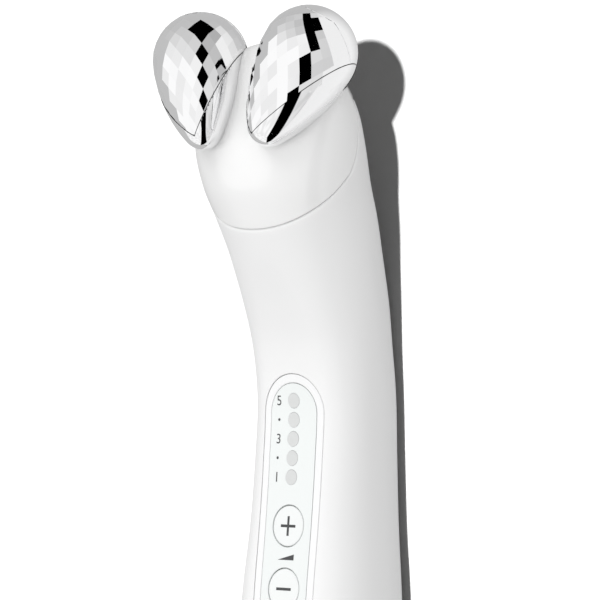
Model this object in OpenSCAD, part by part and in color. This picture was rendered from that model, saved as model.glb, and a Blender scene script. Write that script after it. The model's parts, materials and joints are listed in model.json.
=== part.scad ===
// Facial toning wand: a curved one-piece handle sleeve, an oblique head cover that carries
// two diamond-cut electrodes, and a flush control panel with five level lights and three
// sprung push buttons. It lies on its back: +Y runs to the head, +Z is the panel side and
// the XY plane is the table.

/* [Handle] */
// Length from the waist down to the flat foot
foot_reach = 84; // [80:1:92]
// Length from the waist up to the crown of the head
crown_reach = 80; // [76:1:84]
// Half the width at the waist
waist_half_w = 16; // [15:0.5:18]
// Half the width where the handle flares towards the foot
foot_half_w = 19.3; // [18:0.1:20.5]
// Half the width of the head
head_half_w = 21.7; // [20.5:0.1:22.3]
// Wall thickness of the mouldings
wall = 2; // [1.6:0.1:2.4]
// Height above the waist at which the joint line of the head starts, on the front
seam_low = 38; // [34:0.5:42]
// Slope of the joint line from the cross-section
seam_tilt = 53; // [45:1:58]
// Width of the joint line
seam_gap = 0.24; // [0.1:0.02:0.4]
// Height of the joint between sleeve and foot cap, above the foot
cap_height = 10; // [8:0.5:12]

/* [Electrodes] */
// Radius of the large ball end
ball_r = 10.8; // [9.5:0.1:11.5]
// Radius of the small end
tip_r = 4.9; // [4:0.1:5.5]
// Distance between the centres of the two ends
electrode_len = 17.8; // [16:0.1:20]
// Radius of the long arc that joins the two ends
flank_r = 40; // [36:1:46]
// Wall thickness of the plated shell
electrode_wall = 0.7; // [0.6:0.05:1.2]

/* [Control panel] */
// Width of the whole panel insert
panel_w = 17.8; // [16:0.1:19]
// Width of the inner plate
plate_w = 13.7; // [12:0.1:14.5]
// Diameter of a level light
light_d = 3.4; // [2.5:0.1:3.8]
// Distance between level lights
light_pitch = 4.27; // [4.1:0.01:4.5]
// Number of level lights
light_count = 5; // [5:1:5]
// Diameter of the hole round a button
button_d = 9.5; // [8:0.1:10.5]
// Distance between buttons
button_pitch = 14; // [12:0.5:15]
// Free travel of a button
button_travel = 0.6; // [0.3:0.1:0.8]

/* [Hidden] */

// ---- Form of the body -------------------------------------------------------------------
// Cross-sections across the long axis, from the foot to the crown, in the frame of the waist:
// [height, half width, level of the widest line, front, back, front power, back power, flat]
// The powers are those of the super-ellipse quadrants, and flat is how much the front is
// flattened to carry the panel.
SECTIONS = [
  [-foot_reach, foot_half_w, 1.5, 15.2, -13.4, 2.7, 2.2, 1],
  [-62, foot_half_w + 0.1, 2.0, 15.8, -13.9, 2.7, 2.2, 1],
  [-42, 18.2, 1.3, 14.1, -13.9, 2.7, 2.2, 1],
  [-28, 17.0, 0.6, 12.5, -13.9, 2.7, 2.2, 1],
  [-14, waist_half_w + 0.4, 0.2, 11.2, -13.9, 2.7, 2.2, 1],
  [0, waist_half_w, 0, 10.5, -13.9, 2.7, 2.2, 1],
  [12, waist_half_w + 0.4, 1.1, 12.3, -13.9, 2.5, 1.9, 0.9],
  [22, 17.2, 3.0, 16.1, -13.55, 2.3, 1.77, 0.5],
  [33, 18.4, 6.4, 21.3, -10.6, 2.1, 1.83, 0],
  [41, 19.4, 9.3, 24.6, -6.9, 2.2, 2.0, 0],
  [48, 20.4, 12.3, 26.8, -4.0, 2.4, 2.0, 0],
  [56, head_half_w, 15.0, 27.2, -1.0, 2.4, 2.0, 0],
  [62, head_half_w, 15.9, 25.9, 1.1, 2.2, 2.0, 0],
  [68, head_half_w - 0.4, 16.4, 24.6, 3.1, 2.0, 2.0, 0],
  [crown_reach, head_half_w - 1, 16.6, 24, 6, 1.9, 2.0, 0]
];
// Heights at which the foot and the crown begin to round in, and how round they are
foot_round_from = -66;
foot_round_reach = 19.4;
foot_power = 3;
crown_round_from = 60;
crown_power = 2.4;
// How far the round section would stand over the panel flat, and the blend at its edges
flat_rise = 0.085;
flat_blend = 0.8;
// The same for the narrow flat on the back, on which the device rests, and the shallow hollow
// along its middle: how deep it is, and its share of the half width
rest_rise = 0.075;
rest_blend = 0.05;
rest_hollow = 0.14;
hollow_share = 0.3;
// Points round a section
ring_n = 40;
// Rings up the head, which crowd towards the crown and stop just short of it
head_rows = 11;
head_turn = 86;
head_shares = [for (i = [0 : head_rows]) sin(head_turn * i / head_rows)];
// Raised lip of the head between the electrodes, how far it reaches and how wide it is
lip_h = 1.1;
lip_reach = 3.2;
lip_width = 14;

// Front of the joint line, and the sum that every point of its plane keeps
seam_front = section(seam_low)[3];
seam_sum = seam_low + seam_front * tan(seam_tilt);
seam_mid_z = 13.5;
seam_mid_y = seam_sum - seam_mid_z * tan(seam_tilt);
cap_y = cap_height - foot_reach;

// ---- Electrode axis: centres of the small and the large end on the right-hand side --------
tip_at = [10, 60.8, 28.8];
ball_dir = unit([0.363, 0.870, -0.332]);
ball_at = tip_at + electrode_len * ball_dir;
// Facets round the electrode, and the steps between their rows along its axis: from the widest
// ring to the tip, and from the widest ring over the ball
facet_count = 22;
FLANK_STEPS = [2.4, 2.5, 2.6, 2.65, 2.55, 2.4, 2.2, 2];
BALL_STEPS = [1.55, 1.46, 1.35, 1.21, 1.05, 0.89, 0.73, 0.58];
// Facets lie in a corner that stands at the tip. The rest, next to the head, is smooth.
corner_turn = [13.4, -26.1, 27.1];
corner_size = 34;
smooth_pole = 8.3;
// Axis of the fixing stud, pointing into the head
stud_dir = unit([-0.45, -0.35, -0.82]);
stud_from = tip_at + 0.55 * electrode_len * ball_dir;
stud_r = 1.5;
stud_root = 3;
stud_len = 14;
pillar_r = 3;
nut_h = 2;
nut_r = 3.2;
nut_face = 7.2;
boss_from = 4.7;
boss_r = 4;
seat_gap = 0.05;

// Rings that close the facets at the tip: distance from its end, and radius
TIP_RINGS = [[0.3, 1.6], [1.5, 3.5]];

// ---- Panel ------------------------------------------------------------------------------
panel_top = 6;
plus_y = -27.9;
minus_y = plus_y - button_pitch;
power_y = minus_y - button_pitch;
panel_bottom = power_y - panel_w / 2;
bezel_t = 1.3;
plate_t = 0.8;
ledge_w = 12.2;
opening_w = 14.5;
fit_gap = 0.1;
skirt_w = opening_w - 2 * fit_gap;
button_gap = 0.2;
cap_drop = 0.12;
flange_r = 5.3;
flange_t = 0.5;
flange_drop = plate_t + 0.35;
stem_r = 1.6;
stem_gap = 0.35;
membrane_drop = 2.4;
membrane_t = 0.6;

// ---- Inside -------------------------------------------------------------------------------
board_top_z = 5.1;
board_tilt = -5;
board_y0 = -64;
board_y1 = 4;
board_half_w = 9;
board_t = 1.2;
board_hole_inset = 2.2;
board_holes = [
  for (side = [-1, 1], y = [board_y0 + board_hole_inset, board_y1 - board_hole_inset])
    [side * (board_half_w - board_hole_inset), y]
];
switch_w = 4.6;
switch_h = 1.6;
stub_r = 1.1;
cell_r = 7;
cell_y0 = -60;
cell_y1 = -10;
cell_z = -3.6;
trough_t = 0.7;
port_z = section(-foot_reach)[2];
port_size = [8.9, 7.3, 3.2];
lead_r = 0.6;
seal_t = 0.3;
plug_gap = 0.15;
coil_y = -4.9;
chip_y = -34.9;
gasket_t = 0.6;
bulkhead_top = 0.9;
bulkhead_t = 2;
head_screw_x = 11;
head_screw_v = -7;
lead_hole_x = 5;
lead_hole_v = 10.3;
lead_hole_r = 1.6;
head_boss_h = 6.2;
head_boss_r = 2.4;
screw_depth = 4;
screw_r = 0.9;
screw_head_r = 1.7;
screw_head_h = 0.9;
head_screw_bite = 3.5;
board_screw_bite = 2.4;
stub_h = 0.4;
switch_gap = 0.15;
led_size = [2, 1.3, 0.7];

// ---- Place of the whole part: middle of its length, lowest line of its back ---------------
top_y = ball_at[1] + ball_r;
// Longer than the body is thick, for what cuts through it
through = 40;
origin_y = (top_y - foot_reach) / 2;
low_z = min([for (y = [-foot_reach : 1 : 20]) section(y)[4]]);

// ---- Small helpers --------------------------------------------------------------------------
function unit(v) = v / norm(v);
function flip(v, side) = [v[0] * side, v[1], v[2]];
function mean(points) = [for (k = [0 : 2]) sum([for (p = points) p[k]]) / len(points)];
function sum(v, i = 0) = i < len(v) ? v[i] + sum(v, i + 1) : 0;
function signed_pow(v, e) = sign(v) * pow(abs(v), e);
function soft_min(a, b, k) = let (h = max(k - abs(a - b), 0) / k) min(a, b) - h * h * k / 4;

// Smooth curve through the rows of SECTIONS, all columns at once
function row_of(y, i = 0) = i >= len(SECTIONS) - 2 || y < SECTIONS[i + 1][0] ? i : row_of(y, i + 1);
function row_slope(i) =
  let (a = SECTIONS[max(i - 1, 0)], b = SECTIONS[min(i + 1, len(SECTIONS) - 1)])
  (b - a) / (b[0] - a[0]);
function section(y) =
  let (
    i = row_of(y),
    a = SECTIONS[i],
    b = SECTIONS[i + 1],
    h = b[0] - a[0],
    t = (y - a[0]) / h
  )
  a * (2 * t * t * t - 3 * t * t + 1)
  + row_slope(i) * h * (t * t * t - 2 * t * t + t)
  + b * (3 * t * t - 2 * t * t * t)
  + row_slope(i + 1) * h * (t * t * t - t * t);

// Share of the section that is left where the ends round in
function round_in(y, inset) =
  y > crown_round_from
    ? sqrt(max(0, 1 - pow((y - crown_round_from) / (crown_reach - inset - crown_round_from), crown_power)))
    : y < foot_round_from
    ? sqrt(max(0, 1 - pow((foot_round_from - y) / (foot_round_reach - inset), foot_power)))
    : 1;

// Point of the body at a height and an angle round it, from +X over the front
function skin_point(y, angle, inset = 0) =
  let (
    s = section(y),
    k = round_in(y, inset),
    c = cos(angle),
    n = sin(angle),
    depth = (n >= 0 ? s[3] - s[2] : s[2] - s[4]) * k - inset,
    power = 2 / (n >= 0 ? s[5] : s[6]),
    x = (s[1] * k - inset) * signed_pow(c, power),
    z = n >= 0
      ? s[2] + soft_min(depth * (1 + flat_rise * s[7]) * pow(n, power), depth, flat_blend * s[7] + 0.01)
      : s[2] - soft_min(depth * (1 + rest_rise * s[7]) * pow(-n, power), depth, rest_blend * s[7] + 0.01)
        + rest_hollow * s[7] * max(0, 1 - pow(c / hollow_share, 2))
  )
  [x, y, z];

// Height at which the joint plane, moved by shift along its normal, meets the skin
function seam_y(angle, inset = 0, shift = 0, low = 25, high = 78, n = 34) =
  n == 0
    ? (low + high) / 2
    : let (
        mid = (low + high) / 2,
        side = mid + skin_point(mid, angle, inset)[2] * tan(seam_tilt)
      )
      side > seam_sum + shift / cos(seam_tilt)
        ? seam_y(angle, inset, shift, low, mid, n - 1)
        : seam_y(angle, inset, shift, mid, high, n - 1);

function angle_of(j) = 360 * j / ring_n;
function level_ring(y, inset = 0) = [for (j = [0 : ring_n - 1]) skin_point(y, angle_of(j), inset)];
function seam_ring(inset = 0, shift = 0) =
  [for (j = [0 : ring_n - 1]) skin_point(seam_y(angle_of(j), inset, shift), angle_of(j), inset)];
// Ring between a level one and the joint line, or between the joint line and the crown
function below_seam_ring(share, from_y, inset = 0, shift = 0) =
  [for (j = [0 : ring_n - 1])
    skin_point(from_y + share * (seam_y(angle_of(j), inset, shift) - from_y), angle_of(j), inset)];
function above_seam_ring(share, inset = 0, shift = 0) =
  [for (j = [0 : ring_n - 1])
    let (y0 = seam_y(angle_of(j), inset, shift))
    lip(skin_point(y0 + share * (crown_reach - inset - y0), angle_of(j), inset), inset)];

// The head rises in a soft lip where it meets an electrode
function teardrop_gap(p, side) =
  let (
    from_tip = p - flip(tip_at, side),
    x = min(max(from_tip * flip(ball_dir, side), 0), electrode_len),
    near = flip(tip_at, side) + x * flip(ball_dir, side)
  )
  norm(p - near) - (tip_r + (ball_r - tip_r) * x / electrode_len);
function lip(p, inset) =
  inset > 0
    ? p
    : let (
        gap = max(teardrop_gap(p, p[0] < 0 ? -1 : 1), 0),
        s = section(min(p[1], crown_reach)),
        away = unit([p[0], 0, p[2] - s[2] + 0.001])
      )
      p + away * lip_h * max(0, 1 - abs(p[0]) / lip_width) * exp(-pow(gap / lip_reach, 2));

// ---- Skins -----------------------------------------------------------------------------------
// Closed solid over a run of rings; looped joins the last ring to the first
module skin(rings, looped = false) {
  n = len(rings[0]);
  m = len(rings);
  bands = looped ? m : m - 1;
  flat_points = [for (r = rings) for (p = r) p];
  walls = [
    for (i = [0 : bands - 1], j = [0 : n - 1])
      let (a = i * n, b = ((i + 1) % m) * n, k = (j + 1) % n)
      each [[a + j, a + k, b + j], [b + j, a + k, b + k]]
  ];
  caps = [
    for (j = [0 : n - 1])
      let (k = (j + 1) % n)
      each [[k, j, m * n], [(m - 1) * n + j, (m - 1) * n + k, m * n + 1]]
  ];
  polyhedron(
    points = looped ? flat_points : concat(flat_points, [mean(rings[0]), mean(rings[m - 1])]),
    faces = looped ? walls : concat(walls, caps),
    convexity = 8
  );
}

module placed() {
  translate([0, -origin_y, -low_z]) children();
}

// Slot with round ends between two heights, standing up from the middle of the body
module stadium(width, top, bottom, grow = 0) {
  r = width / 2 + grow;
  linear_extrude(through) {
    translate([0, top - width / 2]) circle(r, $fn = 72);
    translate([0, bottom + width / 2]) circle(r, $fn = 72);
    translate([-r, bottom + width / 2]) square([2 * r, top - bottom - width]);
  }
}

// Layer that follows the front of the body between two depths below it
module front_layer(from, to) {
  ys = [for (y = [panel_bottom - 2 : 4 : panel_top + 3]) y];
  front = [for (y = ys) [y, section(y)[3] + to]];
  rear = [for (i = [len(ys) - 1 : -1 : 0]) [ys[i], section(ys[i])[3] + from]];
  rotate([90, 0, 90]) linear_extrude(through, center = true) polygon(concat(front, rear));
}

function front_angle(y) = atan((section(y + 1)[3] - section(y - 1)[3]) / 2);

// Frame on the front of the body, +Z out of it
module on_front(y) {
  translate([0, y, section(y)[3]]) rotate([front_angle(y), 0, 0]) children();
}

module on_board() {
  translate([0, 0, board_top_z]) rotate([board_tilt, 0, 0]) children();
}

module on_seam() {
  translate([0, seam_mid_y, seam_mid_z]) rotate([seam_tilt - 90, 0, 0]) children();
}

// Outline of the body in the joint plane, seen along its normal
function seam_outline(inset, shift = 0) =
  [for (p = seam_ring(inset, shift))
    [p[0], (p[1] - seam_mid_y) * sin(seam_tilt) - (p[2] - seam_mid_z) * cos(seam_tilt)]];

// Frame on the stud axis of one side, +Z into the head
module on_stud(side) {
  mirror([side < 0 ? 1 : 0, 0, 0])
    translate(stud_from)
      rotate([0, acos(stud_dir[2]), atan2(stud_dir[1], stud_dir[0])])
        children();
}

// ---- Outer mouldings ---------------------------------------------------------------------------
module handle_shell() {
  rows = 28;
  shares = [for (i = [0 : rows]) i / rows];
  outer = [for (t = shares) below_seam_ring(t, cap_y, 0, -seam_gap / 2)];
  inner = [for (t = shares) below_seam_ring(1 - t, cap_y, wall, -seam_gap / 2)];
  color("whitesmoke")
    placed()
      difference() {
        skin(concat(outer, inner), looped = true);
        intersection() {
          stadium(panel_w, panel_top, panel_bottom, fit_gap);
          front_layer(-bezel_t, 6);
        }
        stadium(opening_w, panel_top - (panel_w - opening_w) / 2, panel_bottom + (panel_w - opening_w) / 2);
      }
}

// Solid head, used as a cutter; lift moves its skin outwards
module head_skin(lift = 0) {
  rings = [for (t = head_shares) above_seam_ring(t, -lift, seam_gap / 2)];
  skin(concat([level_ring(30, 8)], rings));
}

module head_cover() {
  head_wall = 2.2;
  seat_wall = 3.4;
  outer = [for (t = head_shares) above_seam_ring(t, 0, seam_gap / 2)];
  inner = [for (i = [head_rows : -1 : 0])
    above_seam_ring(head_shares[i], i == 0 ? seat_wall : head_wall, seam_gap / 2)];
  color("white")
    placed()
      difference() {
        union() {
          skin(concat(inner, outer));
          for (side = [-1, 1]) {
            on_stud(side)
              translate([0, 0, boss_from]) cylinder(h = nut_face - boss_from, r = boss_r, $fn = 48);
            on_seam() translate([side * head_screw_x, head_screw_v, -bulkhead_top])
              cylinder(h = head_boss_h, r = head_boss_r, $fn = 48);
          }
        }
        for (side = [-1, 1]) {
          stud(side, fit_gap);
          on_seam() translate([side * head_screw_x, head_screw_v, -bulkhead_top - 1])
            cylinder(h = screw_depth + 1, r = screw_r, $fn = 24);
        }
      }
}

module bottom_cap() {
  rows = 7;
  tongue_h = 4;
  tongue_gap = 0.15;
  tongue_t = 1.2;
  shoulder_y = cap_y - seal_t;
  floor_y = foot_reach - wall;
  shares = [for (i = [0 : rows]) sin(90 * i / rows)];
  outer = [for (t = shares) level_ring(-foot_reach + (1 - t) * (shoulder_y + foot_reach), 0)];
  inner = [for (t = shares) level_ring(-floor_y + (1 - t) * (shoulder_y + floor_y), wall + tongue_t)];
  rim = [
    level_ring(shoulder_y, wall + tongue_gap),
    level_ring(cap_y + tongue_h, wall + tongue_gap),
    level_ring(cap_y + tongue_h, wall + tongue_t)
  ];
  color("whitesmoke")
    placed()
      difference() {
        skin(concat([for (i = [rows : -1 : 0]) outer[i]], rim, inner));
        port_slot(plug_gap);
      }
}

// Slot through the foot for the plug of the charger
module port_slot(grow) {
  translate([0, -foot_reach + 12, port_z])
    rotate([90, 0, 0])
      linear_extrude(24)
        port_outline((port_size[0] - port_size[2]) / 2, port_size[2] / 2 + grow);
}

module cap_seal() {
  outline = level_ring(cap_y, 0.3);
  hole = level_ring(cap_y, wall - 0.1);
  color("darkgray")
    placed()
      translate([0, cap_y, 0])
        rotate([90, 0, 0])
          linear_extrude(seal_t)
            difference() {
              polygon([for (p = outline) [p[0], p[2]]]);
              polygon([for (p = hole) [p[0], p[2]]]);
            }
}

// ---- Electrodes ----------------------------------------------------------------------------------
// Where the long arc of the flank has its centre, along and across the electrode's axis
function flank_centre() =
  let (
    to_ball = flank_r - ball_r,
    to_tip = flank_r - tip_r,
    along = (to_tip * to_tip - to_ball * to_ball + electrode_len * electrode_len) / (2 * electrode_len)
  )
  [along, -sqrt(to_tip * to_tip - along * along)];

// Points [radius, distance along the axis] of a run of an arc
function arc(centre, r, from, to, n) =
  [for (i = [0 : n]) let (a = from + (to - from) * i / n) [centre[1] + r * cos(a), centre[0] + r * sin(a)]];

// Outline of the smooth teardrop, tip first. The arcs of its ends begin and stop just short of
// the axis, and the one between them leaves a step to each.
function teardrop_outline(inset) =
  let (
    c = flank_centre(),
    start = atan2(-c[0], -c[1]),
    end = atan2(electrode_len - c[0], -c[1]),
    step = 3,
    first = -75,
    last = 80
  )
  concat(
    [[0, -tip_r + inset]],
    arc([0, 0], tip_r - inset, first, start, 5),
    arc(c, flank_r - inset, start + step, end - step, 8),
    arc([electrode_len, 0], ball_r - inset, end, last, 12),
    [[0, electrode_len + ball_r - inset]]
  );

// Frame on the axis of the right-hand electrode, +Z from its tip to its ball
module on_axis() {
  translate(tip_at)
    rotate([0, acos(ball_dir[2]), atan2(ball_dir[1], ball_dir[0])])
      children();
}

module smooth_teardrop(inset = 0) {
  rotate_extrude($fn = 96) polygon(teardrop_outline(inset));
}

// Radii of the rings of a run of facets. The corners of a facet lie on three rings, and they lie
// in one plane when the middle ring, at its facets' midpoints, is in line with the other two.
function facet_radii(steps, done) =
  len(done) > len(steps)
    ? done
    : let (
        k = len(done),
        near = done[k - 1] * cos(180 / facet_count)
      )
      facet_radii(steps, concat(done, [near + (near - done[k - 2]) * steps[k - 1] / steps[k - 2]]));
function facet_run(steps, way) =
  let (radii = facet_radii(steps, [ball_r, ball_r * cos(180 / facet_count)]))
  [for (k = [1 : len(steps)])
    [electrode_len + way * sum([for (i = [0 : k - 1]) steps[i]]), radii[k], way * k]];

module facets() {
  flank = facet_run(FLANK_STEPS, -1);
  last = len(flank);
  rings = concat(
    [for (k = [0, 1]) [-tip_r + TIP_RINGS[k][0], TIP_RINGS[k][1], k - last - 2]],
    [for (k = [last - 1 : -1 : 0]) flank[k]],
    [[electrode_len, ball_r, 0]],
    facet_run(BALL_STEPS, 1)
  );
  skin([
    for (ring = rings)
      [for (j = [0 : facet_count - 1])
        let (a = 360 * (j + ring[2] / 2) / facet_count)
        [ring[1] * cos(a), -ring[1] * sin(a), ring[0]]]
  ]);
}

// Corner with its edge through the tip, and up to the smooth pole of the ball
module facet_zone() {
  intersection() {
    translate(tip_at) rotate(corner_turn) translate([0, 0, -corner_size / 2]) cube(corner_size);
    on_axis() translate([0, 0, -corner_size / 2])
      cylinder(h = electrode_len + smooth_pole + corner_size / 2, r = corner_size, $fn = 48);
  }
}

// Hollow plated shell, faceted where it faces away from the head, with a pillar for its stud
module electrode(side) {
  color("silver")
    placed()
      difference() {
        mirror([side < 0 ? 1 : 0, 0, 0])
          difference() {
            union() {
              on_axis() facets();
              difference() {
                on_axis() smooth_teardrop();
                facet_zone();
              }
            }
            difference() {
              on_axis() smooth_teardrop(electrode_wall);
              on_stud(1) translate([0, 0, -ball_r]) cylinder(h = 2 * ball_r, r = pillar_r, $fn = 48);
            }
          }
        head_skin(seat_gap);
        stud(side);
      }
}

module stud(side, grow = 0) {
  on_stud(side) translate([0, 0, -stud_root]) cylinder(h = stud_len, r = stud_r + grow, $fn = 32);
}

module electrode_stud(side) {
  color("goldenrod") placed() stud(side);
}

module electrode_nut(side) {
  color("silver")
    placed()
      on_stud(side)
        translate([0, 0, nut_face])
          difference() {
            cylinder(h = nut_h, r = nut_r, $fn = 6);
            translate([0, 0, -1]) cylinder(h = nut_h + 2, r = stud_r, $fn = 32);
          }
}

// ---- Joint between the sleeve and the head -----------------------------------------------------
module head_gasket() {
  color("dimgray")
    placed()
      on_seam()
        translate([0, 0, -gasket_t - seam_gap / 2])
          linear_extrude(gasket_t)
            difference() {
              intersection() {
                polygon(seam_outline(wall + 0.06));
                polygon(seam_outline(wall + 0.06, -gasket_t - seam_gap));
              }
              polygon(seam_outline(wall + 1.5));
            }
}

module head_bulkhead() {
  color("gainsboro")
    placed()
      on_seam()
        translate([0, 0, -bulkhead_top - bulkhead_t])
          difference() {
            linear_extrude(bulkhead_t)
              intersection() {
                polygon(seam_outline(wall + 0.06, -bulkhead_top));
                polygon(seam_outline(wall + 0.06, -bulkhead_top - bulkhead_t));
              }
            for (side = [-1, 1]) {
              translate([side * lead_hole_x, lead_hole_v, -1])
                cylinder(h = bulkhead_t + 2, r = lead_hole_r, $fn = 24);
              translate([side * head_screw_x, head_screw_v, -1])
                cylinder(h = bulkhead_t + 2, r = screw_r, $fn = 24);
            }
          }
}

// Pan-head screw, head at the origin, shank along +Z
module screw(length) {
  cylinder(h = length, r = screw_r, $fn = 24);
  translate([0, 0, -screw_head_h]) cylinder(h = screw_head_h, r = screw_head_r, $fn = 32);
}

module head_screws() {
  color("silver")
    placed()
      on_seam()
        for (side = [-1, 1])
          translate([side * head_screw_x, head_screw_v, -bulkhead_top - bulkhead_t])
            screw(bulkhead_t + head_screw_bite);
}

// ---- Control panel ---------------------------------------------------------------------------------
module panel_bezel() {
  border = (panel_w - plate_w) / 2;
  ledge = (panel_w - ledge_w) / 2;
  skirt = (panel_w - skirt_w) / 2;
  color("white")
    placed()
      difference() {
        union() {
          intersection() {
            stadium(panel_w, panel_top, panel_bottom);
            front_layer(-bezel_t, -0.08);
          }
          intersection() {
            stadium(skirt_w, panel_top - skirt, panel_bottom + skirt);
            front_layer(-membrane_drop, -bezel_t + 0.1);
          }
        }
        intersection() {
          stadium(plate_w, panel_top - border, panel_bottom + border, fit_gap);
          front_layer(-plate_t - 0.1, 6);
        }
        stadium(ledge_w, panel_top - ledge, panel_bottom + ledge);
      }
}

module panel_plate() {
  border = (panel_w - plate_w) / 2;
  color("mintcream")
    placed()
      difference() {
        intersection() {
          stadium(plate_w, panel_top - border, panel_bottom + border);
          front_layer(-plate_t - 0.1, -0.1);
        }
        for (i = [0 : light_count - 1])
          on_front(-i * light_pitch) translate([0, 0, -4]) cylinder(h = 8, d = light_d, $fn = 48);
        for (y = [plus_y, minus_y, power_y])
          on_front(y) translate([0, 0, -4]) cylinder(h = 8, d = button_d, $fn = 64);
      }
}

// Light pipe: a round window in the plate, a collar under it and a stem towards the board
module level_window(i) {
  clear = 0.04;
  collar_drop = 0.8;
  collar_t = 0.5;
  pipe_end = 3.4;
  pipe_len = 3;
  pipe_inset = 0.8;
  color("gray")
    placed()
      on_front(-i * light_pitch) {
        translate([0, 0, -plate_t - fit_gap]) cylinder(h = plate_t, d = light_d - clear, $fn = 48);
        translate([0, 0, -plate_t - collar_drop])
          cylinder(h = collar_t, d = light_pitch - 2 * fit_gap, $fn = 48);
        translate([0, 0, -pipe_end]) cylinder(h = pipe_len, d = light_d - pipe_inset, $fn = 32);
      }
}

// Cap with a crowned edge, a flange that keeps it under the plate and a stem over its switch
module button(y) {
  r = button_d / 2 - button_gap;
  crown = 0.35;
  bevel = 0.1;
  stem_end = stem_len(y);
  color("white")
    placed()
      on_front(y)
        rotate_extrude($fn = 72)
          polygon([
            [0, -cap_drop], [r - crown, -cap_drop], [r - bevel, -cap_drop - bevel],
            [r, -cap_drop - crown], [r, -flange_drop], [flange_r, -flange_drop],
            [flange_r, -flange_drop - flange_t], [stem_r, -flange_drop - flange_t],
            [stem_r, -stem_end], [0, -stem_end]
          ]);
}

// Distance from the front of the body down to the board, at a height
function board_depth(y) = section(y)[3] - board_top_z - y * tan(board_tilt);
function stem_len(y) = board_depth(y) - switch_h - stub_h - button_travel - switch_gap;

module keypad_membrane() {
  skirt = (panel_w - skirt_w) / 2;
  color("lightgray")
    placed()
      difference() {
        intersection() {
          stadium(skirt_w, panel_top - skirt, panel_bottom + skirt);
          front_layer(-membrane_drop - membrane_t, -membrane_drop - 0.02);
        }
        for (i = [0 : light_count - 1])
          on_front(-i * light_pitch) translate([0, 0, -5]) cylinder(h = 6, d = light_d - 0.4, $fn = 32);
        for (y = [plus_y, minus_y, power_y])
          on_front(y) translate([0, 0, -6]) cylinder(h = 8, r = stem_r + stem_gap, $fn = 32);
      }
}

// ---- Electronics ---------------------------------------------------------------------------------
module main_board() {
  color("seagreen")
    placed()
      on_board()
        difference() {
          translate([-board_half_w, board_y0, -board_t])
            cube([2 * board_half_w, board_y1 - board_y0, board_t]);
          for (hole = board_holes)
            translate([hole[0], hole[1], -board_t - 1]) cylinder(h = board_t + 2, r = screw_r, $fn = 24);
        }
}

module board_screws() {
  color("silver")
    placed()
      on_board()
        for (hole = board_holes)
          translate([hole[0], hole[1], 0]) mirror([0, 0, 1]) screw(board_t + board_screw_bite);
}

module board_leds() {
  color("ivory")
    placed()
      on_board()
        for (i = [0 : light_count - 1])
          translate([-led_size[0] / 2, -i * light_pitch - led_size[1] / 2, 0]) cube(led_size);
}

module switch(y) {
  color("dimgray")
    placed()
      on_board() {
        translate([-switch_w / 2, y - switch_w / 2, 0]) cube([switch_w, switch_w, switch_h]);
        translate([0, y, 0]) cylinder(h = switch_h + stub_h, r = stub_r, $fn = 32);
      }
}

module controller_chip() {
  side = 7;
  t = 1.1;
  color("#303030")
    placed()
      on_board()
        translate([-side / 2, chip_y - side / 2, -board_t - t]) cube([side, side, t]);
}

// Step-up transformer that makes the output current: a ferrite drum on a base
module booster_coil() {
  base = 8;
  plate = 0.8;
  rim_r = 3.8;
  drum_r = 3.2;
  drum_h = 3;
  color("sienna")
    placed()
      on_board()
        translate([0, coil_y, -board_t]) mirror([0, 0, 1]) {
          translate([-base / 2, -base / 2, 0]) cube([base, base, plate]);
          translate([0, 0, plate]) cylinder(h = plate, r = rim_r, $fn = 48);
          translate([0, 0, 2 * plate]) cylinder(h = drum_h, r = drum_r, $fn = 48);
          translate([0, 0, 2 * plate + drum_h]) cylinder(h = plate, r = rim_r, $fn = 48);
        }
}

module battery_cell() {
  button_r = 2.6;
  button_h = 1;
  color("steelblue")
    placed()
      translate([0, cell_y1, cell_z])
        rotate([90, 0, 0]) {
          cylinder(h = cell_y1 - cell_y0, r = cell_r, $fn = 72);
          translate([0, 0, -button_h]) cylinder(h = button_h, r = button_r, $fn = 32);
        }
}

// Trough for the cell with a rail on each side that carries the board
module chassis() {
  web_half_w = 11.6;
  rail_mid = 8.8;
  rail_t = 3.6;
  web_z = -1.6;
  web_t = 1.6;
  y0 = -62;
  y1 = 1;
  end_t = 1.4;
  foot_t = 0.6;
  r_out = cell_r + trough_t;
  rest_gap = 0.02;
  under = [for (y = [y0, y1]) board_top_z + y * tan(board_tilt) - board_t / cos(board_tilt) - rest_gap];
  color("dimgray")
    placed()
      difference() {
        union() {
          translate([0, y1, cell_z]) rotate([90, 0, 0]) cylinder(h = y1 - y0, r = r_out, $fn = 72);
          translate([-web_half_w, y0, web_z]) cube([2 * web_half_w, y1 - y0, web_t]);
          for (side = [-1, 1], tab = [[y0, 6, 16.6], [y1 - 5, 5, 13.7]])
            translate([min(0, side * tab[2]), tab[0], web_z]) cube([tab[2], tab[1], web_t]);
          for (side = [-1, 1])
            translate([side * rail_mid, 0, 0])
              rotate([90, 0, 90])
                linear_extrude(rail_t, center = true)
                  polygon([[y0, web_z], [y1, web_z], [y1, under[1]], [y0, under[0]]]);
        }
        on_board() translate([-20, y0 - 5, -board_t - rest_gap]) cube([40, y1 - y0 + 10, 20]);
        translate([0, y1 - end_t, cell_z])
          rotate([90, 0, 0])
            cylinder(h = y1 - end_t - y0 - foot_t, r = cell_r + fit_gap, $fn = 72);
        translate([-7.2, y0 - 1, cell_z + 2.6]) cube([14.4, y1 - y0 - 0.6, 20]);
        for (hole = board_holes)
          on_board() translate([hole[0], hole[1], -8]) cylinder(h = 8, r = screw_r, $fn = 24);
      }
}

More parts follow.
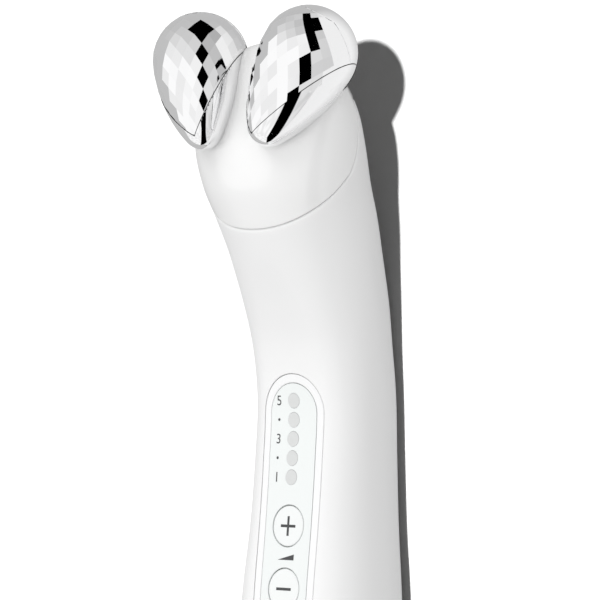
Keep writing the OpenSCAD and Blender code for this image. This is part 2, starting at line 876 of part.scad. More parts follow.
// ---- Wiring: round leads swept along hand-set routes ------------------------------------------------
function frame_x(t) = unit(cross([0.31, 0.12, 0.94], t));
function lead_rings(path, r, sides = 8) =
  [for (i = [0 : len(path) - 1])
    let (
      t = unit(path[min(i + 1, len(path) - 1)] - path[max(i - 1, 0)]),
      u = frame_x(t),
      v = cross(u, t)
    )
    [for (j = [0 : sides - 1]) path[i] + r * (cos(360 * j / sides) * u + sin(360 * j / sides) * v)]];

ELECTRODE_ROUTE = [
  [8.3, 65.3, 16], [7.6, 64.8, 14.6], [6.2, 62.8, 11], [5, 58.8, 5.8], [5, 56.8, 3.6], [5, 52, 1.6],
  [5, 44, 0.2], [5, 34, 0], [5, 24, 1.4], [4.6, 14, 4], [4, 8, 5.8], [3.7, 4.2, 6.2], [3.6, 1.4, 5.8]
];
BATTERY_ROUTE = [[2, -8.2, -3.9], [3.4, -6.4, -3.2], [4.6, -5, -0.6], [5.2, -4.4, 2.4], [5.2, -4.4, 3.9]];
PORT_ROUTE = [[4, -66.6, 0.05], [4.1, -66.4, 1.4], [5.2, -65, 4.4], [5.8, -63, 8.2], [5.8, -62.8, 8.9]];

module electrode_lead(side) {
  color("crimson") placed() skin(lead_rings([for (p = ELECTRODE_ROUTE) flip(p, side)], lead_r));
}

module battery_leads() {
  color("crimson")
    placed()
      for (side = [-1, 1]) {
        skin(lead_rings([for (p = BATTERY_ROUTE) flip(p, side)], lead_r));
        skin(lead_rings([for (p = PORT_ROUTE) flip(p, side)], lead_r));
      }
}

// ---- Charging port ------------------------------------------------------------------------------------
module charging_port() {
  r = port_size[2] / 2;
  half = port_size[0] / 2 - r;
  skin_t = 0.3;
  set_back = 0.3;
  back_t = 1;
  tongue = [6, 0.7];
  color("silver")
    placed()
      translate([0, -foot_reach + set_back + port_size[1], port_z])
        rotate([90, 0, 0]) {
          difference() {
            linear_extrude(port_size[1]) port_outline(half, r);
            translate([0, 0, back_t]) linear_extrude(port_size[1]) port_outline(half, r - skin_t);
          }
          translate([-tongue[0] / 2, -tongue[1] / 2, 0]) cube([tongue[0], tongue[1], port_size[1] - 1]);
        }
}

// Stadium of the charger's plug: half the distance between its two ends' centres, and their radius
module port_outline(half, r) {
  translate([-half, 0]) circle(r, $fn = 48);
  translate([half, 0]) circle(r, $fn = 48);
  translate([-half, -r]) square([2 * half, 2 * r]);
}

module port_board() {
  size = [11, 14, 1];
  set_back = 5;
  color("seagreen")
    placed()
      translate([-size[0] / 2, -foot_reach + set_back, port_z - port_size[2] / 2 - size[2]]) cube(size);
}

module electrode_left() { electrode(-1); }
module electrode_right() { electrode(1); }
module electrode_stud_left() { electrode_stud(-1); }
module electrode_stud_right() { electrode_stud(1); }
module electrode_nut_left() { electrode_nut(-1); }
module electrode_nut_right() { electrode_nut(1); }
module electrode_lead_left() { electrode_lead(-1); }
module electrode_lead_right() { electrode_lead(1); }
module level_window_1() { level_window(0); }
module level_window_2() { level_window(1); }
module level_window_3() { level_window(2); }
module level_window_4() { level_window(3); }
module level_window_5() { level_window(4); }
module plus_button() { button(plus_y); }
module minus_button() { button(minus_y); }
module power_button() { button(power_y); }
module plus_switch() { switch(plus_y); }
module minus_switch() { switch(minus_y); }
module power_switch() { switch(power_y); }

handle_shell();
head_cover();
electrode_left();
electrode_right();
electrode_stud_left();
electrode_stud_right();
electrode_nut_left();
electrode_nut_right();
head_gasket();
head_bulkhead();
head_screws();
panel_bezel();
panel_plate();
level_window_1();
level_window_2();
level_window_3();
level_window_4();
level_window_5();
plus_button();
minus_button();
power_button();
keypad_membrane();
main_board();
board_leds();
plus_switch();
minus_switch();
power_switch();
controller_chip();
booster_coil();
board_screws();
chassis();
battery_cell();
battery_leads();
electrode_lead_left();
electrode_lead_right();
port_board();
charging_port();
bottom_cap();
cap_seal();
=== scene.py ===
"""Looks, light and camera of a curved facial toning wand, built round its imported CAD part.

The wand lies on its back. Forms are worked out in millimetres in the frame of its waist, with +Y
towards the head and +Z out of the control panel, and then placed in the CAD part's own frame.
"""

import json
import logging
import math
from dataclasses import dataclass, field
from enum import Enum

import bmesh
import bpy
import numpy as np
from mathutils import Matrix, Vector
from mathutils.geometry import delaunay_2d_cdt

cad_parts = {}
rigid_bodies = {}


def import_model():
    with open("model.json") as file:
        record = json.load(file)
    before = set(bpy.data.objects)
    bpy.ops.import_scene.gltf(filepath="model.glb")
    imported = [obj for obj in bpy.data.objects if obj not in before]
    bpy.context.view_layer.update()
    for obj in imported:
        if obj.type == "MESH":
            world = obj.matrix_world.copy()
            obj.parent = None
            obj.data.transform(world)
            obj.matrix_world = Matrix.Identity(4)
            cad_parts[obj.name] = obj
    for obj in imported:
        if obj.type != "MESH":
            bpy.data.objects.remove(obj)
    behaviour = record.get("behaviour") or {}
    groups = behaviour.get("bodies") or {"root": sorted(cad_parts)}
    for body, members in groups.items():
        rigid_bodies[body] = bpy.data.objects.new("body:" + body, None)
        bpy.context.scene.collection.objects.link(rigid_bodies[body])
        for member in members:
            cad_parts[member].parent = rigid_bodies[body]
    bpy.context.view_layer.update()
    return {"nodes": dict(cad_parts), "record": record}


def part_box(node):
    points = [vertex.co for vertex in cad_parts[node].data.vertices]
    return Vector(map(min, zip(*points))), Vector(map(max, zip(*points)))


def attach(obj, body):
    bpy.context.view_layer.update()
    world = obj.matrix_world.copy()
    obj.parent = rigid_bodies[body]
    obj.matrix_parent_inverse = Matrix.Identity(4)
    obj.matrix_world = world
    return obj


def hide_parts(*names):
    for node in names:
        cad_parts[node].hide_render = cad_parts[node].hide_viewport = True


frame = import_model()

LOG = logging.getLogger("toning_wand")
MM = 0.001
Array = np.ndarray
Color = tuple[float, float, float]
Socket = bpy.types.NodeSocket
Tree = bpy.types.NodeTree


class Body(Enum):
    """The rigid bodies that the pieces ride on."""

    WAND = "body"
    PLUS = "plus_button"
    MINUS = "minus_button"
    POWER = "power_button"


class Grain(Enum):
    """Fine structure of a surface: (noise scale per metre, depth of the bump in metres)."""

    NONE = (0.0, 0.0)
    SATIN = (5200.0, 0.000004)
    MOULDED = (2600.0, 0.000006)
    RUBBER = (3200.0, 0.000012)


# ---- Trees of nodes ------------------------------------------------------------------------------


def grey(level: float) -> tuple[float, ...]:
    """Returns the opaque grey of a level."""
    return level, level, level, 1.0


def add_node(tree: Tree, kind: str, inputs: dict[str | int, object], **settings: object) -> bpy.types.Node:
    """Returns a new node.

    Args:
        tree: the tree that it joins.
        kind: its type.
        inputs: what its inputs get, by name or number: a socket is linked, anything else is set.
        settings: its properties.
    """
    node = tree.nodes.new(kind)
    for name, value in settings.items():
        setattr(node, name, value)
    for key, value in inputs.items():
        if isinstance(value, Socket):
            tree.links.new(value, node.inputs[key])
        else:
            node.inputs[key].default_value = value
    return node


def maths(tree: Tree, kind: str, *values: object) -> Socket:
    """Returns the result of a sum of that kind on sockets or numbers."""
    return add_node(tree, "ShaderNodeMath", dict(enumerate(values)), operation=kind).outputs[0]


def share_along(tree: Tree, way: Socket, direction: Vector) -> Socket:
    """Returns how far a vector goes along a direction."""
    node = add_node(tree, "ShaderNodeVectorMath", {0: way, 1: direction}, operation="DOT_PRODUCT")
    return node.outputs["Value"]


def ramp(tree: Tree, value: Socket, ends: tuple[float, ...], smooth: bool = False) -> Socket:
    """Returns a value carried from one range to another, and held at its ends.

    Args:
        tree: the tree.
        value: what is carried over.
        ends: the range that goes in and the one that comes out.
        smooth: eases the change in and out.
    """
    inputs = dict(zip(("From Min", "From Max", "To Min", "To Max"), ends), Value=value)
    kind = "SMOOTHSTEP" if smooth else "LINEAR"
    return add_node(tree, "ShaderNodeMapRange", inputs, interpolation_type=kind).outputs["Result"]


def blend(tree: Tree, share: Socket, first: tuple[float, ...], second: tuple[float, ...]) -> Socket:
    """Returns the colour between two colours.

    Args:
        tree: the tree.
        share: how far it is from the first to the second.
        first: the first colour.
        second: the second one.
    """
    return add_node(tree, "ShaderNodeMix", {0: share, 6: first, 7: second}, data_type="RGBA").outputs[2]


def noise(tree: Tree, place: Socket, scale: float, detail: float) -> Socket:
    """Returns a cloudy pattern.

    Args:
        tree: the tree.
        place: the coordinates that it reads.
        scale: features to the unit of the coordinates.
        detail: octaves.
    """
    inputs = {"Vector": place, "Scale": scale, "Detail": detail}
    return add_node(tree, "ShaderNodeTexNoise", inputs).outputs["Fac"]


def by_ray(tree: Tree, plain: Socket, mirrored: Socket, shown: Socket) -> Socket:
    """Returns a shader that differs by the kind of ray.

    Args:
        tree: the tree.
        plain: what lights matt pieces.
        mirrored: what glossy pieces mirror.
        shown: what the camera sees.
    """
    path = tree.nodes.new("ShaderNodeLightPath").outputs
    for ray, shader in (("Is Glossy Ray", mirrored), ("Is Camera Ray", shown)):
        plain = add_node(tree, "ShaderNodeMixShader", {0: path[ray], 1: plain, 2: shader}).outputs[0]
    return plain


# ---- Finishes ------------------------------------------------------------------------------------


@dataclass(frozen=True)
class Finish:
    """One finish of the wand, as a maker would order it."""

    name: str
    slot: str
    color: Color
    roughness: float
    metallic: float = 0.0
    grain: Grain = Grain.NONE
    wear: float = 0.02
    wear_scale: float = 60.0
    mottle: float = 0.0
    coat: float = 0.0
    coat_roughness: float = 0.1


SATIN_WHITE = Finish("satin white moulding", "satin_white", (0.85, 0.85, 0.85), 0.42, grain=Grain.SATIN)
GLOSS_WHITE = Finish("gloss white moulding", "gloss_white", (0.86, 0.86, 0.858), 0.2, wear=0.03, coat=0.3)
BEZEL_WHITE = Finish("white bezel", "panel_white", (0.86, 0.862, 0.865), 0.3)
PLATE_WHITE = Finish("cool white plate", "plate_white", (0.80, 0.826, 0.818), 0.32)
BUTTON_WHITE = Finish("white key cap", "button_white", (0.82, 0.838, 0.832), 0.34)
CHROME_FACETS = Finish("chrome facets", "diamond_chrome", (0.93, 0.93, 0.935), 0.03, 1.0, wear=0.01)
CHROME_SMOOTH = Finish("chrome rim", "diamond_chrome", (0.92, 0.92, 0.925), 0.05, 1.0, wear=0.015)
LEGEND_INK = Finish("grey legend ink", "plate_white", (0.045, 0.046, 0.048), 0.5)


def by_slot() -> dict[str, Finish]:
    """Returns the finish of each material slot whose CAD solids are shown as they are."""
    rows = (
        Finish("brass", "brass", (0.78, 0.56, 0.27), 0.3, 1.0, mottle=0.08),
        Finish("zinc plated steel", "screw_steel", (0.62, 0.62, 0.63), 0.3, 1.0, mottle=0.1),
        Finish("seal rubber", "seal_rubber", (0.17, 0.17, 0.175), 0.8, grain=Grain.RUBBER),
        Finish("inner moulding", "inner_white", (0.74, 0.74, 0.73), 0.55, grain=Grain.MOULDED),
        Finish("keypad silicone", "membrane_silicone", (0.6, 0.61, 0.61), 0.65, grain=Grain.RUBBER),
        Finish("circuit board", "board_green", (0.03, 0.19, 0.09), 0.4, mottle=0.25, coat=0.4),
        Finish("light body", "led_ivory", (0.8, 0.76, 0.6), 0.4, mottle=0.05),
        Finish("switch housing", "switch_black", (0.025, 0.025, 0.027), 0.45, mottle=0.1),
        Finish("ferrite", "ferrite", (0.09, 0.075, 0.07), 0.7, mottle=0.2),
        Finish("chassis moulding", "chassis_grey", (0.2, 0.2, 0.205), 0.6, grain=Grain.MOULDED),
        Finish("cell sleeve", "cell_blue", (0.05, 0.17, 0.4), 0.35, mottle=0.06, coat=0.3),
        Finish("lead sleeve", "lead_red", (0.5, 0.03, 0.03), 0.45, mottle=0.08),
        Finish("nickel shell", "port_steel", (0.6, 0.6, 0.61), 0.25, 1.0, mottle=0.08),
        Finish("frosted light", "window_grey", (0.66, 0.67, 0.665), 0.45, mottle=0.05, wear_scale=900.0),
    )
    return {row.slot: row for row in rows}


class PaintShop:
    """Mixes each finish once, as a procedural material on Object coordinates."""

    wear_octaves = 3.0
    grain_octaves = 2.0

    def __init__(self) -> None:
        """Starts with no material mixed."""
        self.mixed: dict[str, bpy.types.Material] = {}

    def mix(self, finish: Finish) -> bpy.types.Material:
        """Returns the material of a finish, made on first use.

        Args:
            finish: what the surface looks like.
        """
        if finish.name in self.mixed:
            return self.mixed[finish.name]
        color = (*finish.color, 1.0)
        material = bpy.data.materials.new(finish.name)
        material.use_nodes = True
        material.diffuse_color = color
        tree = material.node_tree
        inputs = tree.nodes["Principled BSDF"].inputs
        inputs["Base Color"].default_value = color
        inputs["Metallic"].default_value = finish.metallic
        inputs["Coat Weight"].default_value = finish.coat
        inputs["Coat Roughness"].default_value = finish.coat_roughness
        place = tree.nodes.new("ShaderNodeTexCoord").outputs["Object"]
        cloud = noise(tree, place, finish.wear_scale, self.wear_octaves)
        ends = (0.0, 1.0, finish.roughness - finish.wear, finish.roughness + finish.wear)
        tree.links.new(ramp(tree, cloud, ends), inputs["Roughness"])
        if finish.mottle:
            darker = (*(c * (1 - finish.mottle) for c in finish.color), 1.0)
            tree.links.new(blend(tree, cloud, color, darker), inputs["Base Color"])
        scale, depth = finish.grain.value
        if depth:
            height = noise(tree, place, scale, self.grain_octaves)
            bump = add_node(tree, "ShaderNodeBump", {"Distance": depth, "Height": height})
            tree.links.new(bump.outputs["Normal"], inputs["Normal"])
        self.mixed[finish.name] = material
        return material


# ---- Form of the body ----------------------------------------------------------------------------


def unit(v: Array) -> Array:
    """Returns v at length one."""
    return v / np.linalg.norm(v, axis=-1, keepdims=True)


def signed_pow(v: Array, e: Array) -> Array:
    """Returns the power of the size of v, with the sign of v."""
    return np.sign(v) * np.abs(v) ** e


def soft_min(a: Array, b: Array, k: Array) -> Array:
    """Returns the smaller of a and b, blended over k."""
    h = np.maximum(k - np.abs(a - b), 0) / k
    return np.minimum(a, b) - h * h * k / 4


def turns(count: int) -> Array:
    """Returns equal steps round a full turn, in radians."""
    return 2 * math.pi * np.arange(count) / count


def on_circle(angle: Array) -> Array:
    """Returns the points of the unit circle at angles."""
    return np.column_stack([np.cos(angle), np.sin(angle)])


def eased(count: int) -> Array:
    """Returns shares from 0 to 1 that close up towards 1."""
    return np.sin(np.linspace(0, math.pi / 2, count))


def fillet(count: int = 4) -> Array:
    """Returns the steps of a quarter round: shares in from the face and in from the skin."""
    turn = np.linspace(0, math.pi / 2, count + 1)
    return np.column_stack([1 - np.sin(turn), 1 - np.cos(turn)])


@dataclass(frozen=True)
class Stadium:
    """Slot shape of the control panel, told by the line between the middles of its ends."""

    top: float
    bottom: float

    def rays(self, plan: Array) -> tuple[Array, Array, Array]:
        """Returns the nearest points of the middle line, the directions away from it and the distances.

        Args:
            plan: points across and along the wand.
        """
        near = np.stack([0 * plan[..., 0], np.clip(plan[..., 1], self.bottom, self.top)], axis=-1)
        away = plan - near
        far = np.linalg.norm(away, axis=-1)
        return near, away / far[..., None], far

    def loop(self, round_n: int, step: float) -> tuple[Array, Array]:
        """Returns middle points and directions all round the slot, counter-clockwise.

        Args:
            round_n: steps on each half round.
            step: distance between points on the straight sides.
        """
        straight = max(int((self.top - self.bottom) / step), 1)
        turn = np.linspace(0, math.pi, round_n + 1)
        climb = np.linspace(self.bottom, self.top, straight + 1)[1:-1]
        parts = [
            (np.full_like(turn, self.top), turn),
            (climb[::-1], np.full_like(climb, math.pi)),
            (np.full_like(turn, self.bottom), turn + math.pi),
            (climb, np.full_like(climb, 0.0)),
        ]
        y = np.concatenate([p[0] for p in parts])
        angle = np.concatenate([p[1] for p in parts])
        return np.column_stack([0 * y, y]), on_circle(angle)


@dataclass(frozen=True)
class Electrode3D:
    """Axis and sizes of the right-hand electrode: centres of its small and its large end."""

    ball_r: float = 10.8
    tip_r: float = 4.9
    length: float = 17.8
    flank_r: float = 40.0
    tip: tuple[float, ...] = (10.0, 60.8, 28.8)
    heading: tuple[float, ...] = (0.363, 0.870, -0.332)

    @property
    def axis(self) -> Array:
        """Returns the direction from the small end to the large one."""
        return unit(np.array(self.heading))

    def flank_centre(self) -> Array:
        """Returns where the long arc of the flank has its centre: along the axis and across it."""
        to_ball, to_tip = self.flank_r - self.ball_r, self.flank_r - self.tip_r
        along = (to_tip**2 - to_ball**2 + self.length**2) / (2 * self.length)
        return np.array([along, -math.sqrt(to_tip**2 - along**2)])

    def flank_turns(self) -> tuple[float, float]:
        """Returns the angles at which the long arc of the flank starts and ends."""
        along, across = self.flank_centre()
        return math.atan2(-along, -across), math.atan2(self.length - along, -across)

    def frame(self) -> Matrix:
        """Returns the matrix of the axis, +Z from the small end to the large one, in millimetres."""
        turn_y = math.acos(self.axis[2])
        turn_z = math.atan2(self.axis[1], self.axis[0])
        return (
            Matrix.Translation(Vector(self.tip))
            @ Matrix.Rotation(turn_z, 4, "Z")
            @ Matrix.Rotation(turn_y, 4, "Y")
        )


@dataclass(frozen=True)
class BodyForm:
    """Outer form of the wand: super-ellipse sections along Y, cut by the tilted joint of the head.

    Each row of sections is: height, half width, level of the widest line, front, back, front
    power, back power, flat.
    """

    sections: tuple[tuple[float, ...], ...] = (
        (-84, 19.3, 1.5, 15.2, -13.4, 2.7, 2.2, 1),
        (-62, 19.4, 2.0, 15.8, -13.9, 2.7, 2.2, 1),
        (-42, 18.2, 1.3, 14.1, -13.9, 2.7, 2.2, 1),
        (-28, 17.0, 0.6, 12.5, -13.9, 2.7, 2.2, 1),
        (-14, 16.4, 0.2, 11.2, -13.9, 2.7, 2.2, 1),
        (0, 16.0, 0.0, 10.5, -13.9, 2.7, 2.2, 1),
        (12, 16.4, 1.1, 12.3, -13.9, 2.5, 1.9, 0.9),
        (22, 17.2, 3.0, 16.1, -13.55, 2.3, 1.77, 0.5),
        (33, 18.4, 6.4, 21.3, -10.6, 2.1, 1.83, 0),
        (41, 19.4, 9.3, 24.6, -6.9, 2.2, 2.0, 0),
        (48, 20.4, 12.3, 26.8, -4.0, 2.4, 2.0, 0),
        (56, 21.7, 15.0, 27.2, -1.0, 2.4, 2.0, 0),
        (62, 21.7, 15.9, 25.9, 1.1, 2.2, 2.0, 0),
        (68, 21.3, 16.4, 24.6, 3.1, 2.0, 2.0, 0),
        (80, 20.7, 16.6, 24.0, 6.0, 1.9, 2.0, 0),
    )
    foot_reach: float = 84.0
    crown_reach: float = 80.0
    foot_round_from: float = -66.0
    foot_round_reach: float = 19.4
    foot_power: float = 3.0
    crown_round_from: float = 60.0
    crown_power: float = 2.4
    flat_rise: float = 0.085
    flat_blend: float = 0.8
    rest_rise: float = 0.075
    rest_blend: float = 0.05
    rest_hollow: float = 0.14
    hollow_share: float = 0.3
    cap_height: float = 10.0
    seam_low: float = 38.0
    seam_tilt: float = math.radians(53)
    seam_gap: float = 0.24
    seam_side: float = 14.5
    seam_climb: float = 1.18
    seam_high: float = 67.0
    seam_blend: float = 4.0
    wall: float = 2.0
    lip_h: float = 1.1
    lip_reach: float = 3.2
    lip_width: float = 14.0
    panel_top: float = 6.0
    panel_bottom: float = -64.8
    panel_w: float = 17.8
    rest_end: float = 20.0
    seam_span: tuple[float, float] = (25.0, 78.0)
    seam_halvings: int = 40
    seam_probe: float = 0.01
    least_blend: float = 0.01
    least_away: float = 0.001
    electrode: Electrode3D = field(default_factory=Electrode3D)

    @property
    def cap_y(self) -> float:
        """Returns the height of the joint between sleeve and foot cap."""
        return self.cap_height - self.foot_reach

    @property
    def panel_slot(self) -> Stadium:
        """Returns the middle line of the control panel."""
        half = self.panel_w / 2
        return Stadium(self.panel_top - half, self.panel_bottom + half)

    def section(self, y: Array) -> Array:
        """Returns the rows of the smooth curve through the sections.

        Args:
            y: heights.
        """
        rows = np.array(self.sections, float)
        y = np.asarray(y, float)
        last = len(rows) - 1
        i = np.clip(np.searchsorted(rows[:, 0], y, side="right") - 1, 0, last - 1)
        before = rows[np.maximum(np.arange(last + 1) - 1, 0)]
        after = rows[np.minimum(np.arange(last + 1) + 1, last)]
        slope = (after - before) / (after[:, :1] - before[:, :1])
        a, b = rows[i], rows[i + 1]
        h = (b - a)[..., :1]
        t = (y[..., None] - a[..., :1]) / h
        return (
            a * (2 * t**3 - 3 * t**2 + 1)
            + slope[i] * h * (t**3 - 2 * t**2 + t)
            + b * (3 * t**2 - 2 * t**3)
            + slope[i + 1] * h * (t**3 - t**2)
        )

    def front(self, y: Array) -> Array:
        """Returns the level of the front's middle line at heights y."""
        return self.section(y)[..., 3]

    def round_in(self, y: Array, inset: Array) -> Array:
        """Returns the share of a section that is left where the ends round in.

        Args:
            y: heights.
            inset: depth below the outer skin.
        """
        crown = np.maximum(y - self.crown_round_from, 0) / (
            self.crown_reach - inset - self.crown_round_from
        )
        foot = np.maximum(self.foot_round_from - y, 0) / (self.foot_round_reach - inset)
        return np.sqrt(np.maximum(1 - crown**self.crown_power - foot**self.foot_power, 0))

    def _profile(self, y: Array, n: Array, inset: Array) -> Array:
        """Returns the level of the skin.

        Args:
            y: heights.
            n: sine of the angle round the body.
            inset: depth below the outer skin.
        """
        s = self.section(y)
        k = self.round_in(y, inset)
        level, flat = s[..., 2], s[..., 7]
        up = n >= 0
        depth = np.where(up, s[..., 3] - level, level - s[..., 4]) * k - inset
        power = 2 / np.where(up, s[..., 5], s[..., 6])
        rise = np.where(up, self.flat_rise, self.rest_rise) * flat
        blend = np.where(up, self.flat_blend, self.rest_blend) * flat + self.least_blend
        return level + np.sign(n) * soft_min(depth * (1 + rise) * np.abs(n) ** power, depth, blend)

    def skin(self, y: Array, angle: Array, inset: Array = 0.0) -> Array:
        """Returns points of the skin.

        Args:
            y: heights.
            angle: angles round the body from +X over the front, in radians.
            inset: depth below the outer skin.

        Returns:
            Points in a last axis of three.
        """
        y, angle, inset = np.broadcast_arrays(
            np.asarray(y, float), np.asarray(angle, float), np.asarray(inset, float)
        )
        s = self.section(y)
        c, n = np.cos(angle), np.sin(angle)
        power = 2 / np.where(n >= 0, s[..., 5], s[..., 6])
        x = (s[..., 1] * self.round_in(y, inset) - inset) * signed_pow(c, power)
        level = s[..., 2]
        z = np.where(n == 0, level, self._profile(y, n, inset))
        groove = self.rest_hollow * s[..., 7] * np.maximum(0, 1 - (c / self.hollow_share) ** 2)
        z = z + np.where(n < 0, groove, 0.0)
        return np.stack([x, y, z], axis=-1)

    def rings(
        self, start: Array, end: Array, shares: Array, angle: Array, inset: float = 0.0
    ) -> list[Array]:
        """Returns rings of the skin.

        Args:
            start: heights at share 0.
            end: heights at share 1.
            shares: one share for each ring.
            angle: angles round the body.
            inset: depth below the outer skin.
        """
        return [self.skin(start + t * (end - start), angle, inset) for t in shares]

    def lift(self, plan: Array, inset: float = 0.0, drop: float = 0.0) -> Array:
        """Returns points of the front skin over plan points.

        Args:
            plan: points across and along the wand.
            inset: depth of the skin below the outer one.
            drop: how far they are sunk below it, straight down.
        """
        x, y = plan[..., 0], plan[..., 1]
        s = self.section(y)
        half = s[..., 1] * self.round_in(y, inset) - inset
        c = np.clip(np.abs(x) / half, 0, 1) ** (s[..., 5] / 2)
        return np.stack([x, y, self._profile(y, np.sqrt(1 - c * c), inset) - drop], axis=-1)

    def level(self, y: float) -> float:
        """Returns the level of the widest line at height y."""
        return float(self.section(y)[2])

    def seam_y(self, angle: Array, inset: Array = 0.0, shift: Array = 0.0) -> Array:
        """Returns the heights at which the joint meets the skin.

        Args:
            angle: angles round the body.
            inset: depth of the skin below the outer one.
            shift: how far the joint is moved along its normal.
        """
        low, high = (np.full(np.shape(angle), end) for end in self.seam_span)
        seam_sum = self.seam_low + float(self.front(self.seam_low)) * math.tan(self.seam_tilt)
        for _ in range(self.seam_halvings):
            middle = (low + high) / 2
            level = self.skin(middle, angle, inset)[..., 2]
            over = middle > self._seam_at(level, seam_sum, shift)
            high = np.where(over, middle, high)
            low = np.where(over, low, middle)
        return (low + high) / 2

    def _seam_at(self, level: Array, seam_sum: float, shift: Array) -> Array:
        """Returns the height of the joint line at a level: a slope that steepens down the sides.

        Args:
            level: levels on the skin.
            seam_sum: where the slope alone would meet level zero.
            shift: how far the joint is moved along its normal.
        """
        here, beside = (
            soft_min(
                seam_sum
                - at * math.tan(self.seam_tilt)
                + self.seam_climb * np.maximum(self.seam_side - at, 0) ** 2,
                self.seam_high,
                self.seam_blend,
            )
            for at in (level, level + self.seam_probe)
        )
        return here + shift * np.hypot(1, (beside - here) / self.seam_probe)

    def lip(self, points: Array) -> Array:
        """Returns points of the head's skin, raised where it meets an electrode.

        Args:
            points: the points before they are raised.
        """
        e = self.electrode
        side = np.where(points[..., :1] < 0, -1.0, 1.0) * np.array([1.0, 0, 0]) + np.array([0, 1.0, 1.0])
        from_tip = points * side - e.tip
        along = np.clip(from_tip @ e.axis, 0, e.length)
        near = np.linalg.norm(from_tip - along[..., None] * e.axis, axis=-1)
        gap = np.maximum(near - (e.tip_r + (e.ball_r - e.tip_r) * along / e.length), 0)
        level = self.section(np.minimum(points[..., 1], self.crown_reach))[..., 2]
        away = np.stack([points[..., 0], 0 * level, points[..., 2] - level + self.least_away], axis=-1)
        rise = self.lip_h * np.maximum(0, 1 - np.abs(points[..., 0]) / self.lip_width)
        return points + unit(away) * (rise * np.exp(-((gap / self.lip_reach) ** 2)))[..., None]

    def tilt(self, y: float) -> float:
        """Returns the slope of the front's middle line at height y, as an angle."""
        return math.atan((float(self.front(y + 1)) - float(self.front(y - 1))) / 2)

    def on_front(self, y: float) -> Matrix:
        """Returns the frame on the front at height y, +Z out of it, in millimetres."""
        return Matrix.Translation((0, y, float(self.front(y)))) @ Matrix.Rotation(self.tilt(y), 4, "X")

    def placing(self) -> Matrix:
        """Returns the matrix from the waist's frame in millimetres to the CAD part's frame in metres."""
        ys = np.arange(-self.foot_reach, self.rest_end + 1)
        lowest = float(self.section(ys)[:, 4].min())
        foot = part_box("bottom_cap")[0].y
        return Matrix.Translation((0, foot + self.foot_reach * MM, -lowest * MM)) @ Matrix.Scale(MM, 4)


# ---- Mesh making ---------------------------------------------------------------------------------


class Draft:
    """Vertices and faces of a mesh in the making, in millimetres in the waist's frame."""

    def __init__(self) -> None:
        """Starts empty."""
        self.points: list[Array] = []
        self.faces: list[list[int]] = []
        self.count = 0

    def add(self, points: Array) -> Array:
        """Returns the numbers of new vertices, in the shape of the points without their last axis.

        Args:
            points: their places, in a last axis of three.
        """
        points = np.asarray(points, float)
        flat = points.reshape(-1, 3)
        self.points.append(flat)
        first = self.count
        self.count += len(flat)
        return np.arange(first, self.count).reshape(points.shape[:-1])

    def grid(self, index: Array, around: bool = True, looped: bool = False) -> None:
        """Adds quads between neighbouring rows and columns.

        Args:
            index: vertex numbers in rows and columns.
            around: joins the last column to the first.
            looped: joins the last row to the first.
        """
        rows = np.vstack([index, index[:1]]) if looped else index
        whole = np.hstack([rows, rows[:, :1]]) if around else rows
        quads = np.stack([whole[:-1, :-1], whole[1:, :-1], whole[1:, 1:], whole[:-1, 1:]], axis=-1)
        self.faces.extend(quads.reshape(-1, 4).tolist())

    def fan(self, ring: Array, point: Array) -> None:
        """Closes a ring with triangles to a point."""
        middle = int(self.add(np.asarray(point, float)[None])[0])
        for a, b in zip(ring, np.roll(ring, -1)):
            self.faces.append([int(a), int(b), middle])

    def lathe(self, profile: Array, count: int, first: float, last: float) -> None:
        """Adds a closed solid turned on the Z axis.

        Args:
            profile: radius and level of each ring.
            count: steps round the axis.
            first: level of the point that closes it before the first ring.
            last: level of the point that closes it after the last one.
        """
        circle = on_circle(turns(count))
        index = self.add(np.array([np.column_stack([r * circle, np.full(count, z)]) for r, z in profile]))
        self.grid(index)
        self.fan(index[0], (0, 0, first))
        self.fan(index[-1], (0, 0, last))

    def prism(self, outline: Array, low: float, high: float, place: Matrix) -> None:
        """Adds a closed prism.

        Args:
            outline: plan points, counter-clockwise.
            low: level of its bottom.
            high: level of its top.
            place: the frame that it stands in.
        """
        flat = np.asarray(outline, float)
        lower, upper = (
            self.add(moved(np.column_stack([flat, np.full(len(flat), z)]), place)) for z in (low, high)
        )
        self.grid(np.stack([lower, upper]))
        self.faces.append(upper.tolist())
        self.faces.append(lower[::-1].tolist())

    def mesh(self, name: str, place: Matrix, outward: bool = True) -> bpy.types.Mesh:
        """Returns the mesh of the draft.

        Args:
            name: name of the mesh.
            place: matrix that puts it in the CAD part's frame.
            outward: turns the faces of closed shells outwards.
        """
        mesh = bpy.data.meshes.new(name)
        mesh.from_pydata(np.vstack(self.points).tolist(), [], self.faces)
        mesh.transform(place)
        if outward:
            turn_outward(mesh)
        mesh.validate()
        return mesh


def moved(points: Array, place: Matrix) -> Array:
    """Returns points after a matrix."""
    m = np.array(place)
    return points @ m[:3, :3].T + m[:3, 3]


def turn_outward(mesh: bpy.types.Mesh, weld: float = 1e-8) -> None:
    """Merges doubles of a closed mesh and points its faces outwards.

    Args:
        mesh: the mesh.
        weld: distance below which two vertices are one, in metres.
    """
    work = bmesh.new()
    work.from_mesh(mesh)
    bmesh.ops.remove_doubles(work, verts=work.verts, dist=weld)
    bmesh.ops.recalc_face_normals(work, faces=work.faces)
    work.to_mesh(mesh)
    work.free()


def read(items: bpy.types.bpy_prop_collection, name: str, kind: type, width: int = 1) -> Array:
    """Returns one property of every vertex, corner or face of a mesh.

    Args:
        items: the vertices, corners or faces.
        name: the property.
        kind: float or int.
        width: numbers in each value.
    """
    values = np.zeros(len(items) * width, kind)
    items.foreach_get(name, values)
    return values.reshape(-1, width) if width > 1 else values


